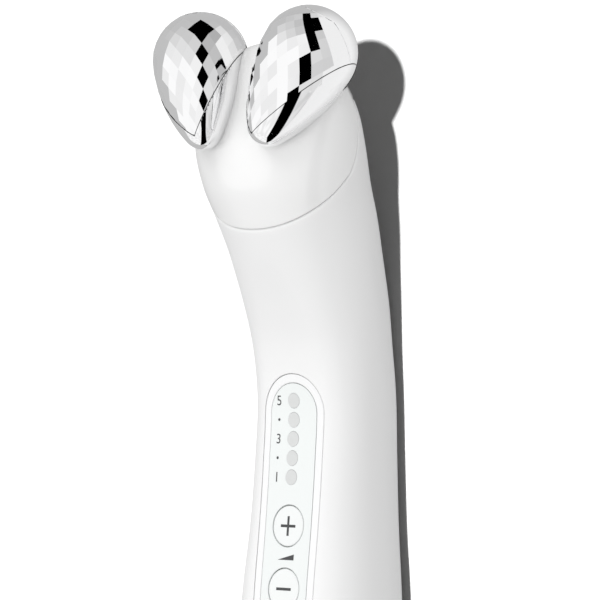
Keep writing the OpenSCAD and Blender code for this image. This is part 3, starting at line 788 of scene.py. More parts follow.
def stood(name: str, data: bpy.types.ID) -> bpy.types.Object:
    """Returns a new object of the scene, at the origin.

    Args:
        name: its name.
        data: its mesh, curve, lamp or camera.
    """
    made = bpy.data.objects.new(name, data)
    bpy.context.scene.collection.objects.link(made)
    return made


def plain_mesh(carrier: bpy.types.Object) -> bpy.types.Mesh:
    """Returns the mesh that an object comes out as, and removes the object.

    Args:
        carrier: an object of the scene, with its modifiers.
    """
    graph = bpy.context.evaluated_depsgraph_get()
    made = bpy.data.meshes.new_from_object(carrier.evaluated_get(graph), depsgraph=graph)
    carrier.modifiers.clear()
    bpy.data.objects.remove(carrier)
    return made


class Pattern:
    """A Geometry Nodes tree with named inputs, one of which is Finish."""

    def __init__(self, name: str, inputs: dict[str, str]) -> None:
        """Starts the tree.

        Args:
            name: its name.
            inputs: the kind of each input, by its name.
        """
        self.tree = bpy.data.node_groups.new(name, "GeometryNodeTree")
        self.keys: dict[str, str] = {}
        for label, kind in {"Geometry": "Geometry", **inputs}.items():
            socket = self.tree.interface.new_socket(label, in_out="INPUT", socket_type=f"NodeSocket{kind}")
            self.keys[label] = socket.identifier
        self.tree.interface.new_socket("Geometry", in_out="OUTPUT", socket_type="NodeSocketGeometry")
        self.given = self.tree.nodes.new("NodeGroupInput").outputs

    def instances(self, points: Socket, shape: Socket, turn: Socket) -> Socket:
        """Returns real copies of a shape.

        Args:
            points: where they stand.
            shape: what is copied.
            turn: how each copy is turned.
        """
        inputs = {"Points": points, "Instance": shape, "Rotation": turn}
        copies = add_node(self.tree, "GeometryNodeInstanceOnPoints", inputs).outputs["Instances"]
        return add_node(self.tree, "GeometryNodeRealizeInstances", {"Geometry": copies}).outputs["Geometry"]

    def dress(self, geometry: Socket) -> None:
        """Gives the result its finish and ends the tree.

        Args:
            geometry: the result.
        """
        inputs = {"Geometry": geometry, "Material": self.given["Finish"]}
        dressed = add_node(self.tree, "GeometryNodeSetMaterial", inputs).outputs["Geometry"]
        add_node(self.tree, "NodeGroupOutput", {"Geometry": dressed})

    def make(self, mesh: bpy.types.Mesh, inputs: dict[str, object]) -> bpy.types.Mesh:
        """Returns the plain mesh that the tree makes of another.

        Args:
            mesh: what goes in.
            inputs: what the inputs get, by their names.
        """
        carrier = stood("carrier", mesh)
        modifier = carrier.modifiers.new("tree", "NODES")
        modifier.node_group = self.tree
        for label, value in inputs.items():
            modifier[self.keys[label]] = value
        return plain_mesh(carrier)


class Maker:
    """What every sub-assembly needs: the form, the placing, and the paint shop."""

    def __init__(self, form: BodyForm, paint: PaintShop) -> None:
        """Keeps the form and the paint shop.

        Args:
            form: outer form of the wand.
            paint: where the finishes are mixed.
        """
        self.form = form
        self.paint = paint
        self.place = form.placing()

    def finish(
        self,
        name: str,
        mesh: bpy.types.Mesh,
        finishes: tuple[Finish, ...],
        body: Body = Body.WAND,
        stands_for: tuple[str, ...] = (),
        smooth: float = 40.0,
    ) -> bpy.types.Object:
        """Makes a piece of a mesh, dresses it and lets it ride on its body.

        Args:
            name: name of the piece.
            mesh: its mesh, in the CAD part's frame.
            finishes: its finishes in the order of the mesh's material numbers.
            body: the body that it rides on.
            stands_for: CAD nodes that it is shown instead of.
            smooth: edges sharper than this stay sharp, in degrees; below zero leaves the shading.

        Returns:
            The piece.
        """
        mesh.materials.clear()
        for one in finishes:
            mesh.materials.append(self.paint.mix(one))
        if smooth >= 0:
            mesh.shade_smooth()
            mesh.set_sharp_from_angle(angle=math.radians(smooth))
        piece = stood(name, mesh)
        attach(piece, body.value)
        if stands_for:
            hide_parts(*stands_for)
        LOG.info("%s: %d faces on %s", name, len(mesh.polygons), body.value)
        return piece

    def mould(self, name: str, draft: Draft, finish: Finish, **more: object) -> bpy.types.Object:
        """Makes a piece of one finish from a draft.

        Args:
            name: name of the piece.
            draft: its shape, in the waist's frame.
            finish: its finish.

        Returns:
            The piece.
        """
        return self.finish(name, draft.mesh(name, self.place), (finish,), **more)


# ---- Mouldings -----------------------------------------------------------------------------------


@dataclass
class HandleSleeve:
    """One-piece sleeve of the handle, with the pocket of the control panel in its front."""

    maker: Maker
    columns: int = 160
    rows: int = 124
    edge_r: float = 0.5
    pocket_edge_r: float = 0.22
    pocket_r: float = 9.0
    pocket_depth: float = 1.3
    opening_r: float = 7.25
    cut_angle: float = math.radians(36)
    cut_margin: float = 2.0
    front_shares: tuple[float, ...] = (0.82, 0.62, 0.42, 0.24, 0.1, 0.0)
    back_shares: tuple[float, ...] = (0.0, 0.25, 0.6)

    def _rings(self) -> tuple[Array, int, int]:
        """Returns all rings of the sleeve, and the numbers of the first outer and inner body ring."""
        form, angle = self.maker.form, turns(self.columns)
        r, gap = self.edge_r, form.seam_gap / 2
        steps, shares = fillet(), np.linspace(0, 1, self.rows)
        rings = [form.skin(form.cap_y + b * r, angle, a * r) for a, b in steps[:-1]]
        first_outer = len(rings)
        rings += form.rings(form.cap_y + r, form.seam_y(angle, 0.0, -gap - r), shares, angle)
        for a, b in steps[::-1][1:]:
            rings.append(form.skin(form.seam_y(angle, a * r, -gap - b * r), angle, a * r))
        first_inner = len(rings)
        end = form.seam_y(angle, form.wall, -gap)
        rings += form.rings(form.cap_y, end, shares[::-1], angle, form.wall)
        return np.array(rings), first_outer, first_inner

    def _window(self) -> tuple[int, int, int, int]:
        """Returns the first and last row and column of the block that the pocket's patch stands in."""
        form = self.maker.form
        length = form.seam_low - form.cap_y
        low, high = (
            int((y - form.cap_y) / length * (self.rows - 1))
            for y in (form.panel_bottom - self.cut_margin, form.panel_top + self.cut_margin)
        )
        side = int(self.cut_angle / (2 * math.pi / self.columns))
        middle = self.columns // 4
        return low, high + 1, middle - side, middle + side

    @staticmethod
    def _border(block: Array) -> Array:
        """Returns the vertex numbers round a block of a grid."""
        return np.concatenate([block[0, :-1], block[:-1, -1], block[-1, :0:-1], block[:0:-1, 0]])

    def build(self) -> bpy.types.Object:
        """Returns the sleeve: its skins, rounded edges, and the stepped pocket and opening of the panel."""
        form, draft = self.maker.form, Draft()
        rings, outer, inner = self._rings()
        index = draft.add(rings)
        low, high, left, right = self._window()
        self._skins(draft, index, outer, inner, (low, high, left, right))
        border = self._border(index[outer + low : outer + high + 1, left : right + 1])
        near, away, far = form.panel_slot.rays(rings.reshape(-1, 3)[border][:, :2])
        edge = self.pocket_r + self.pocket_edge_r
        loops = [border]
        for share in self.front_shares:
            flat = near + away * (edge + share * (far - edge))[:, None]
            loops.append(draft.add(form.lift(flat)))
        for a, b in fillet()[::-1][1:]:
            flat = near + away * (self.pocket_r + a * self.pocket_edge_r)
            loops.append(draft.add(form.lift(flat, drop=b * self.pocket_edge_r)))
        for radius in (self.pocket_r, self.opening_r):
            flat = near + away * radius
            loops.append(draft.add(np.column_stack([flat, form.front(flat[:, 1]) - self.pocket_depth])))
        inner_low, inner_high = inner + self.rows - 1 - high, inner + self.rows - 1 - low
        back = self._border(index[inner_low : inner_high + 1][::-1][:, left : right + 1])
        start, end = near + away * self.opening_r, rings.reshape(-1, 3)[back][:, :2]
        for share in self.back_shares:
            loops.append(draft.add(form.lift(start + share * (end - start), form.wall)))
        loops.append(back)
        draft.grid(np.array(loops))
        return self.maker.mould("handle_sleeve", draft, SATIN_WHITE, stands_for=("handle_shell",))

    def _skins(self, draft: Draft, index: Array, outer: int, inner: int, cut: tuple[int, ...]) -> None:
        """Adds the quads of the looped rings, without the two blocks that the patch fills.

        Args:
            draft: the mesh in the making.
            index: vertex numbers of the rings.
            outer: number of the first outer body ring.
            inner: number of the first inner body ring.
            cut: first and last row and column of the blocks.
        """
        low, high, left, right = cut
        rows = len(index)
        for i in range(rows):
            pair = np.stack([index[i], index[(i + 1) % rows]])
            from_cap = self.rows - 2 - (i - inner)
            if low <= i - outer < high or (inner <= i < rows - 1 and low <= from_cap < high):
                draft.grid(pair[:, : left + 1], around=False)
                draft.grid(np.hstack([pair[:, right:], pair[:, :1]]), around=False)
            else:
                draft.grid(pair)


@dataclass
class HeadCover:
    """Gloss cover of the head, from the tilted joint line over the crown."""

    maker: Maker
    columns: int = 200
    rows: int = 150
    inner_rows: int = 30
    edge_r: float = 0.22
    wall: float = 2.2

    def rings(self, lift: float = 0.0) -> Array:
        """Returns the outer rings from the joint line to near the crown.

        Args:
            lift: how far they stand out of the skin.
        """
        form, angle = self.maker.form, turns(self.columns)
        start = form.seam_y(angle, 0.0, form.seam_gap / 2 + self.edge_r)
        shares = eased(self.rows + 1)[:-1]
        return form.lip(np.array(form.rings(start, form.crown_reach + lift, shares, angle, -lift)))

    def build(self) -> bpy.types.Object:
        """Returns the cover with its rounded edge at the joint and its inner skin."""
        form, draft, angle = self.maker.form, Draft(), turns(self.columns)
        gap, r = form.seam_gap / 2, self.edge_r
        edge = [form.skin(form.seam_y(angle, a * r, gap + b * r), angle, a * r) for a, b in fillet()[:-1]]
        start, reach = form.seam_y(angle, self.wall, gap), form.crown_reach - self.wall
        inside = form.rings(start, reach, eased(self.inner_rows + 1)[-2::-1], angle, self.wall)
        index = draft.add(np.concatenate([inside, edge, self.rings()]))
        draft.grid(index)
        draft.fan(index[-1], (0, form.crown_reach, form.level(form.crown_reach)))
        draft.fan(index[0][::-1], (0, reach, form.level(reach)))
        return self.maker.mould("head_cover_moulding", draft, GLOSS_WHITE, stands_for=("head_cover",))

    def solid(self, lift: float) -> bpy.types.Mesh:
        """Returns a closed block of the head's outer form, to cut the seats of the electrodes with.

        Args:
            lift: how far it stands out of the skin.
        """
        form, draft, rings = self.maker.form, Draft(), self.rings(lift)
        index = draft.add(rings)
        draft.grid(index)
        draft.fan(index[-1], (0, form.crown_reach + lift, form.level(form.crown_reach)))
        draft.fan(index[0][::-1], rings[0].mean(axis=0))
        return draft.mesh("head_block", self.maker.place)


@dataclass
class FootCap:
    """Cap of the foot, with the slot of the charging port in its flat end."""

    maker: Maker
    columns: int = 160
    rows: int = 40
    inner_rows: int = 5
    edge_r: float = 0.3
    seal: float = 0.3
    slot_half: float = 2.85
    slot_r: float = 1.75
    slot_edge_r: float = 0.25
    floor: float = 5.0
    inside: float = 3.2
    end_shares: tuple[float, ...] = (0.94, 0.7, 0.45, 0.2, 0.0)

    def build(self) -> bpy.types.Object:
        """Returns the cap: shoulder, rounded end, slot and inner skin."""
        form, draft, angle = self.maker.form, Draft(), turns(self.columns)
        shoulder, foot, r = form.cap_y - self.seal, -form.foot_reach, self.edge_r
        rings = [form.skin(shoulder - b * r, angle, a * r) for a, b in fillet()[:-1]]
        rings += form.rings(shoulder - r, foot, eased(self.rows), angle)
        end = form.skin(foot, angle)
        near = np.column_stack(
            [np.clip(end[:, 0], -self.slot_half, self.slot_half), 0 * angle + form.level(foot)]
        )
        away = end[:, [0, 2]] - near
        far = np.linalg.norm(away, axis=1)
        away = away / far[:, None]

        def ring(radius: Array, y: float) -> Array:
            """Returns a ring at that distance from the slot's middle line."""
            flat = near + away * np.reshape(radius, (-1, 1))
            return np.column_stack([flat[:, 0], 0 * angle + y, flat[:, 1]])

        edge = self.slot_r + self.slot_edge_r
        rings += [ring(edge + share * (far - edge), foot) for share in self.end_shares]
        for a, b in fillet()[::-1][1:]:
            rings.append(ring(self.slot_r + a * self.slot_edge_r, foot + b * self.slot_edge_r))
        rings.append(ring(self.slot_r, foot + self.floor))
        for y in np.linspace(foot + self.floor, shoulder, self.inner_rows):
            rings.append(form.skin(y, angle, self.inside))
        draft.grid(draft.add(np.array(rings)), looped=True)
        return self.maker.mould("foot_cap", draft, SATIN_WHITE, stands_for=("bottom_cap",))


# ---- Electrodes ----------------------------------------------------------------------------------


class FacetWheel(Pattern):
    """Geometry Nodes tree that turns one column of facets round an axis and welds them together."""

    def __init__(self) -> None:
        """Builds the tree with the inputs Facets, Weld and Finish."""
        super().__init__("facet wheel", {"Facets": "Int", "Weld": "Float", "Finish": "Material"})
        tree, given = self.tree, self.given
        still = {"Count": given["Facets"], "Offset": (0, 0, 0)}
        line = add_node(tree, "GeometryNodeMeshLine", still)
        step = maths(tree, "DIVIDE", 2 * math.pi, given["Facets"])
        number = tree.nodes.new("GeometryNodeInputIndex").outputs[0]
        spin = add_node(tree, "ShaderNodeCombineXYZ", {"Z": maths(tree, "MULTIPLY", number, step)})
        real = self.instances(line.outputs["Mesh"], given["Geometry"], spin.outputs[0])
        weld = {"Geometry": real, "Distance": given["Weld"]}
        self.dress(add_node(tree, "GeometryNodeMergeByDistance", weld).outputs["Geometry"])


class Cut(Enum):
    """How two solids are combined."""

    JOIN = "UNION"
    TAKE = "DIFFERENCE"
    KEEP = "INTERSECT"


def combined(mesh: bpy.types.Mesh, other: bpy.types.Mesh, how: Cut) -> bpy.types.Mesh:
    """Returns the mesh of two closed solids, combined.

    Args:
        mesh: the first solid.
        other: the second.
        how: whether it is joined, taken away or kept in common.
    """
    first, second = stood("first", mesh), stood("second", other)
    modifier = first.modifiers.new("cut", "BOOLEAN")
    modifier.operation = how.value
    modifier.solver = "EXACT"
    modifier.object = second
    made = plain_mesh(first)
    bpy.data.objects.remove(second)
    return made


@dataclass
class Electrodes:
    """The two diamond-cut electrodes: planar lozenges towards the skin, smooth next to the head."""

    maker: Maker
    facets: int = 22
    flank_steps: tuple[float, ...] = (2.4, 2.5, 2.6, 2.65, 2.55, 2.4, 2.2, 2.0)
    ball_steps: tuple[float, ...] = (1.55, 1.46, 1.35, 1.21, 1.05, 0.89, 0.73, 0.58)
    tip_rings: tuple[tuple[float, float], ...] = ((-4.6, 1.6), (-3.4, 3.5))
    corner_turn: tuple[float, ...] = (13.4, -26.1, 27.1)
    corner_size: float = 34.0
    smooth_pole: float = 8.3
    seat_gap: float = 0.05
    # painted shade: how the dark line along the crease between facets and rim fades out, and its dark
    # colour
    crease_shade_fade: tuple[float, ...] = (0.00005, 0.00013, 0.0, 1.0)
    crease_shade_tint: tuple[float, ...] = (0.05, 0.05, 0.05, 1.0)
    weld: float = 1e-6
    around: int = 192
    arc_steps: int = 26

    def _radii(self, steps: tuple[float, ...]) -> list[float]:
        """Returns the radii of rings at which the four corners of every lozenge are in one plane.

        Args:
            steps: distances between the rings, from the widest one on.
        """
        narrow = math.cos(math.pi / self.facets)
        radii = [self.maker.form.electrode.ball_r]
        radii.append(radii[0] * narrow)
        for k in range(1, len(steps)):
            near = radii[k] * narrow
            radii.append(near + (near - radii[k - 1]) * steps[k] / steps[k - 1])
        return radii

    def _ladder(self) -> list[tuple[float, float]]:
        """Returns the rings of facet corners, tip first, as height along the axis and radius."""
        e = self.maker.form.electrode
        flank, ball = self._radii(self.flank_steps), self._radii(self.ball_steps)
        down = [(e.length - sum(self.flank_steps[:k]), flank[k]) for k in range(1, len(flank))]
        up = [(e.length + sum(self.ball_steps[:k]), ball[k]) for k in range(1, len(ball))]
        return [*self.tip_rings, *down[::-1], (e.length, e.ball_r), *up]

    def _column(self) -> bpy.types.Mesh:
        """Returns one column of lozenges round the electrode's axis, with its slice of both ends."""
        rings, draft = self._ladder(), Draft()
        step = 2 * math.pi / self.facets

        def corner(ring: int, turned: float, share: float = 1.0) -> int:
            """Returns a new corner on a ring, at an angle told in facets and a share of its radius."""
            z, r = rings[ring]
            x, y = r * share * math.cos(turned * step), r * share * math.sin(turned * step)
            return int(draft.add(np.array([[x, y, z]]))[0])

        last = len(rings) - 1
        for i in range(last + 1):
            at = (i % 2) / 2
            sides = corner(i, at - 0.5), corner(i, at + 0.5)
            if i == 0:
                tip = corner(0, 0, 0.0)
                draft.faces += [[sides[0], sides[1], corner(1, at)], [tip, sides[1], sides[0]]]
            elif i == last:
                pole = corner(last, 0, 0.0)
                draft.faces += [[corner(last - 1, at), sides[1], sides[0]], [sides[0], sides[1], pole]]
            else:
                draft.faces.append([corner(i - 1, at), sides[1], corner(i + 1, at), sides[0]])
        return draft.mesh("facet_column", Matrix.Scale(MM, 4), outward=False)

    def _teardrop(self) -> bpy.types.Mesh:
        """Returns the smooth teardrop round its axis, made of three arcs."""
        e = self.maker.form.electrode
        centre = e.flank_centre()
        start, end = e.flank_turns()
        arcs = []
        for along, across, r, a, b in (
            (0.0, 0.0, e.tip_r, -math.pi / 2, start),
            (centre[0], centre[1], e.flank_r, start, end),
            (e.length, 0.0, e.ball_r, end, math.pi / 2),
        ):
            turn = np.linspace(a, b, self.arc_steps + 1)
            arcs.append((np.array([across, along]) + r * on_circle(turn))[:-1])
        draft = Draft()
        draft.lathe(np.concatenate(arcs)[1:], self.around, -e.tip_r, e.length + e.ball_r)
        return draft.mesh("teardrop", self.maker.place @ e.frame())

    def _corner(self) -> Matrix:
        """Returns how the corner is turned in which the electrode is faceted."""
        turn = Matrix.Identity(3)
        for angle, axis in zip(self.corner_turn, "XYZ"):
            turn = Matrix.Rotation(math.radians(angle), 3, axis) @ turn
        return turn

    def _zone(self) -> bpy.types.Mesh:
        """Returns the corner in which the electrode is faceted, with its edge through the tip."""
        e, size, place = self.maker.form.electrode, self.corner_size, self.maker.place
        cube, rod = Draft(), Draft()
        square = size * np.array([[0, 0], [1, 0], [1, 1], [0, 1]])
        at_tip = Matrix.Translation(Vector(e.tip)) @ self._corner().to_4x4()
        cube.prism(square, -size / 2, size / 2, at_tip)
        circle = size * on_circle(turns(self.around))
        rod.prism(circle, -size / 2, e.length + self.smooth_pole, e.frame())
        return combined(cube.mesh("corner", place), rod.mesh("rod", place), Cut.KEEP)

    def _painted_crease_shade(self, material: bpy.types.Material) -> None:
        """Adds a fine dark line between the facets and the smooth rim to a chrome: painted shade and
        painted dark reflection along that crease.

        Args:
            material: the chrome, whose painted line lies where its corner's two planes meet the surface.
        """
        tree = material.node_tree
        place = tree.nodes.new("ShaderNodeTexCoord").outputs["Object"]
        whole = add_node(tree, "ShaderNodeVectorMath", {0: place}, operation="ABSOLUTE").outputs[0]
        turn = self._corner()
        tip = self.maker.place @ Vector(self.maker.form.electrode.tip)
        depths = [
            maths(tree, "SUBTRACT", share_along(tree, whole, side), side.dot(tip))
            for side in (turn.col[0], turn.col[1])
        ]
        off = maths(tree, "ABSOLUTE", maths(tree, "MINIMUM", *depths))
        base = tree.nodes["Principled BSDF"].inputs["Base Color"]
        # painted shade and reflection: the chrome's colour is darkened along the crease between facets and
        # rim
        painted_shade = blend(tree, ramp(tree, off, self.crease_shade_fade), self.crease_shade_tint, base.default_value)
        tree.links.new(painted_shade, base)

    def _shade(self, mesh: bpy.types.Mesh) -> None:
        """Gives the smooth rim the normals of the true teardrop and leaves the facets flat.

        Args:
            mesh: the whole electrode, with the second material on its smooth rim.
        """
        e = self.maker.form.electrode
        frame_at = self.maker.place @ e.frame()
        local = moved(read(mesh.vertices, "co", float, 3), frame_at.inverted())
        across, along = np.hypot(local[:, 0], local[:, 1]), local[:, 2]
        centre = e.flank_centre()
        start, end = e.flank_turns()
        turn = np.arctan2(along - centre[0], across - centre[1])
        from_r = np.where((turn > start) & (turn < end), across - centre[1], across)
        from_z = np.where(turn <= start, along, np.where(turn >= end, along - e.length, along - centre[0]))
        out = local[:, :2] / np.maximum(across, 1e-9)[:, None]
        normal = unit(np.column_stack([out * from_r[:, None], from_z]))
        normal = unit(normal @ np.array(frame_at.to_3x3()).T)
        smooth = read(mesh.polygons, "material_index", int) == 1
        mesh.polygons.foreach_set("use_smooth", smooth)
        totals = read(mesh.polygons, "loop_total", int)
        wanted = normal[read(mesh.loops, "vertex_index", int)]
        wanted = np.where(np.repeat(smooth, totals)[:, None], wanted, 0.0)
        mesh.normals_split_custom_set(wanted.tolist())

    def build(self, head: HeadCover) -> None:
        """Makes the right-hand electrode, and its mirror image.

        Args:
            head: the cover whose form the seats are cut with.
        """
        e, place = self.maker.form.electrode, self.maker.place
        paints = [self.maker.paint.mix(finish) for finish in (CHROME_FACETS, CHROME_SMOOTH)]
        # each chrome gets the painted dark line of shade along the crease
        for one in paints:
            self._painted_crease_shade(one)
        inputs = {"Facets": self.facets, "Weld": self.weld, "Finish": paints[0]}
        faceted = FacetWheel().make(self._column(), inputs)
        axis = e.frame()
        axis.translation *= MM
        faceted.transform(Matrix.Translation(place.translation) @ axis)
        turn_outward(faceted)
        smooth = combined(self._teardrop(), self._zone(), Cut.TAKE)
        for mesh, kind in ((faceted, 0), (smooth, 1)):
            mesh.materials.clear()
            for one in paints:
                mesh.materials.append(one)
            mesh.polygons.foreach_set("material_index", [kind] * len(mesh.polygons))
        whole = combined(faceted, smooth, Cut.JOIN)
        right = combined(whole, head.solid(self.seat_gap), Cut.TAKE)
        self._shade(right)
        left = right.copy()
        left.transform(Matrix.Scale(-1, 4, (1, 0, 0)))
        left.flip_normals()
        for side, mesh in (("right", right), ("left", left)):
            chromes, node = (CHROME_FACETS, CHROME_SMOOTH), f"electrode_{side}"
            self.maker.finish(f"diamond_{node}", mesh, chromes, stands_for=(node,), smooth=-1)


# ---- Control panel -------------------------------------------------------------------------------


@dataclass
class ControlPanel:
    """Bezel and plate of the flush control panel, with the round windows and key holes.

    The loops are told by the steps on each half round and the distance between points on the
    straight sides. Support, margin and inside are distances from rim and holes, told in radii of
    their edges: of the extra loops, of the nearest inner points, and of the nearest triangles.
    """

    maker: Maker
    plate_w: float = 13.7
    ledge_w: float = 12.2
    skirt_w: float = 14.3
    fit_gap: float = 0.1
    bezel_drop: float = 0.08
    plate_drop: float = 0.1
    plate_t: float = 0.8
    bezel_t: float = 1.3
    skirt_depth: float = 2.4
    edge_r: float = 0.2
    face_shares: tuple[float, ...] = (0.15, 0.5, 0.85)
    bezel_loop: tuple[int, float] = (72, 1.0)
    sheet_loop: tuple[int, float] = (40, 1.2)
    hole_edge_r: float = 0.12
    hole_steps: int = 64
    support: float = 2.2
    margin: float = 4.0
    inside: float = 0.99
    merge: float = 1e-5
    sheet_half: float = 6.0
    sheet_step: float = 1.0
    light_d: float = 3.4
    light_pitch: float = 4.27
    lights: int = 5
    button_d: float = 9.5
    button_ys: tuple[float, ...] = (-27.9, -41.9, -55.9)

    def bezel(self) -> bpy.types.Object:
        """Returns the white border, a profile carried round the slot."""
        form, draft = self.maker.form, Draft()
        near, away = form.panel_slot.loop(*self.bezel_loop)
        outer, inner = form.panel_w / 2, self.plate_w / 2 + self.fit_gap
        drop, r = self.bezel_drop, self.edge_r
        steps = [(r * in_skin, drop + r * in_face) for in_face, in_skin in fillet()]
        profile = [
            (outer, self.bezel_t),
            *[(outer - across, depth) for across, depth in steps],
            *[(outer + (inner - outer) * share, drop) for share in self.face_shares],
            *[(inner + across, depth) for across, depth in steps[::-1]],
            (inner, self.plate_drop + self.plate_t),
            (self.ledge_w / 2, self.plate_drop + self.plate_t),
            (self.ledge_w / 2, self.skirt_depth),
            (self.skirt_w / 2, self.skirt_depth),
            (self.skirt_w / 2, self.bezel_t),
        ]
        loops = [form.lift(near + away * radius, drop=depth) for radius, depth in profile]
        draft.grid(draft.add(np.array(loops)), looped=True)
        return self.maker.mould("panel_border", draft, BEZEL_WHITE, stands_for=("panel_bezel",), smooth=50)

    def holes(self) -> list[tuple[float, float]]:
        """Returns the heights and radii of the holes in the plate."""
        lights = [(-i * self.light_pitch, self.light_d / 2) for i in range(self.lights)]
        return lights + [(y, self.button_d / 2) for y in self.button_ys]

    def _on_plate(self, plan: Array, margin: float) -> Array:
        """Returns which plan points are on the plate.

        Args:
            plan: the points.
            margin: how far they have to be from its rim and from every hole.
        """
        beside = plan + self.merge
        kept = self.maker.form.panel_slot.rays(beside)[2] < self.plate_w / 2 - margin
        for y, r in self.holes():
            kept &= np.hypot(plan[:, 0], plan[:, 1] - y) > r + margin
        return kept

    def plate(self) -> bpy.types.Object:
        """Returns the plate: a curved sheet with rounded edges at its rim and at every hole."""
        form, draft = self.maker.form, Draft()
        near, away = form.panel_slot.loop(*self.sheet_loop)
        f, ring = self.hole_edge_r, on_circle(turns(self.hole_steps))

        def around(kind: int, shrink: float) -> Array:
            """Returns a loop of the plate's outline.

            Args:
                kind: 0 for the rim, else the number of a hole.
                shrink: how far it is moved into the plate.
            """
            if kind == 0:
                return near + away * (self.plate_w / 2 - shrink)
            y, r = self.holes()[kind - 1]
            return ring * (r + shrink) + np.array([0, y])

        kinds = range(len(self.holes()) + 1)
        loops = [around(k, f) for k in kinds]
        supports = [around(k, self.support * f) for k in kinds]
        xs, ys = np.meshgrid(
            np.arange(-self.sheet_half, self.sheet_half + self.sheet_step / 2, self.sheet_step),
            np.arange(form.panel_bottom, form.panel_top, self.sheet_step),
        )
        inner = np.column_stack([xs.ravel(), ys.ravel()])
        clear = self._on_plate(inner, self.margin * f)
        edges, first = [], 0
        for loop in loops:
            edges += [(first + i, first + (i + 1) % len(loop)) for i in range(len(loop))]
            first += len(loop)
        points = [Vector(p) for p in np.concatenate([*loops, *supports, inner[clear]])]
        found = delaunay_2d_cdt(points, edges, [], 0, self.merge)
        flat = np.array([tuple(v) for v in found[0]])
        middles = np.array([flat[list(t)].mean(axis=0) for t in found[2]])
        keep = self._on_plate(middles, self.inside * f)
        sheet = [list(t) for t, ok in zip(found[2], keep) if ok]

        def layer(plan: Array, depth: float) -> Array:
            """Returns new vertices on the plate's sheet, below the front by depth."""
            return draft.add(np.column_stack([plan, form.front(plan[:, 1]) - depth]))

        top = layer(flat, self.plate_drop)
        under = layer(flat, self.plate_drop + self.plate_t)
        draft.faces += [[int(top[i]) for i in t] for t in sheet]
        draft.faces += [[int(under[i]) for i in reversed(t)] for t in sheet]
        for k, loop in enumerate(loops):
            ids = np.array([int(np.argmin(np.abs(flat - p).sum(axis=1))) for p in loop])
            rings = [top[ids]]
            rings += [layer(around(k, a * f), self.plate_drop + b * f) for a, b in fillet(3)[::-1][1:]]
            rings += [layer(around(k, 0.0), self.plate_drop + self.plate_t), under[ids]]
            draft.grid(np.array(rings))
        return self.maker.mould("panel_sheet", draft, PLATE_WHITE, stands_for=("panel_plate",), smooth=50)

    def build(self) -> None:
        """Makes the bezel and the plate."""
        self.bezel()
        self.plate()


@dataclass
class KeyCap:
    """One push button: a cap in the plate, a flange under it and a stem over its switch."""

    maker: Maker
    panel: ControlPanel
    y: float
    body: Body
    cap_r: float = 4.55
    drop: float = 0.12
    edge_r: float = 0.3
    edge_steps: int = 6
    face_shares: tuple[float, ...] = (0.25, 0.5, 0.75, 0.88)
    flange_r: float = 5.3
    flange_t: float = 0.5
    flange_gap: float = 0.35
    stem_r: float = 1.6
    stem_gap: float = 0.05
    around: int = 96

    def build(self) -> bpy.types.Object:
        """Returns the button, turned on the normal of the front."""
        node, place = self.body.value, self.maker.place @ self.maker.form.on_front(self.y)
        stem_end = (place.translation.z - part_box(node)[0].z) / MM - self.stem_gap
        under = self.panel.plate_t + self.flange_gap
        profile = [(self.cap_r * share, -self.drop) for share in self.face_shares]
        for t in np.linspace(0, math.pi / 2, self.edge_steps):
            across, down = self.edge_r * (1 - math.sin(t)), self.edge_r * (1 - math.cos(t))
            profile.append((self.cap_r - across, -self.drop - down))
        profile += [
            (self.cap_r, -under),
            (self.flange_r, -under),
            (self.flange_r, -under - self.flange_t),
            (self.stem_r, -under - self.flange_t),
            (self.stem_r, -stem_end),
        ]
        draft = Draft()
        draft.lathe(profile, self.around, -self.drop, -stem_end)
        name = f"{node}_cap"
        mesh = draft.mesh(name, place)
        return self.maker.finish(name, mesh, (BUTTON_WHITE,), body=self.body, stands_for=(node,), smooth=50)


class DotRow(Pattern):
    """Geometry Nodes tree that sets a small printed dot on every point that it is given."""

    sides = 32

    def __init__(self) -> None:
        """Builds the tree with the inputs Dot radius, Ink thickness and Finish."""
        super().__init__("dot row", {"Dot radius": "Float", "Ink thickness": "Float", "Finish": "Material"})
        tree, given = self.tree, self.given
        sizes = {"Vertices": self.sides, "Radius": given["Dot radius"], "Depth": given["Ink thickness"]}
        disc = add_node(tree, "GeometryNodeMeshCylinder", sizes)
        named = {"data_type": "FLOAT_VECTOR"}
        lean = add_node(tree, "GeometryNodeInputNamedAttribute", {"Name": "lean"}, **named)
        parts = given["Geometry"], disc.outputs["Mesh"], lean.outputs["Attribute"]
        self.dress(self.instances(*parts))


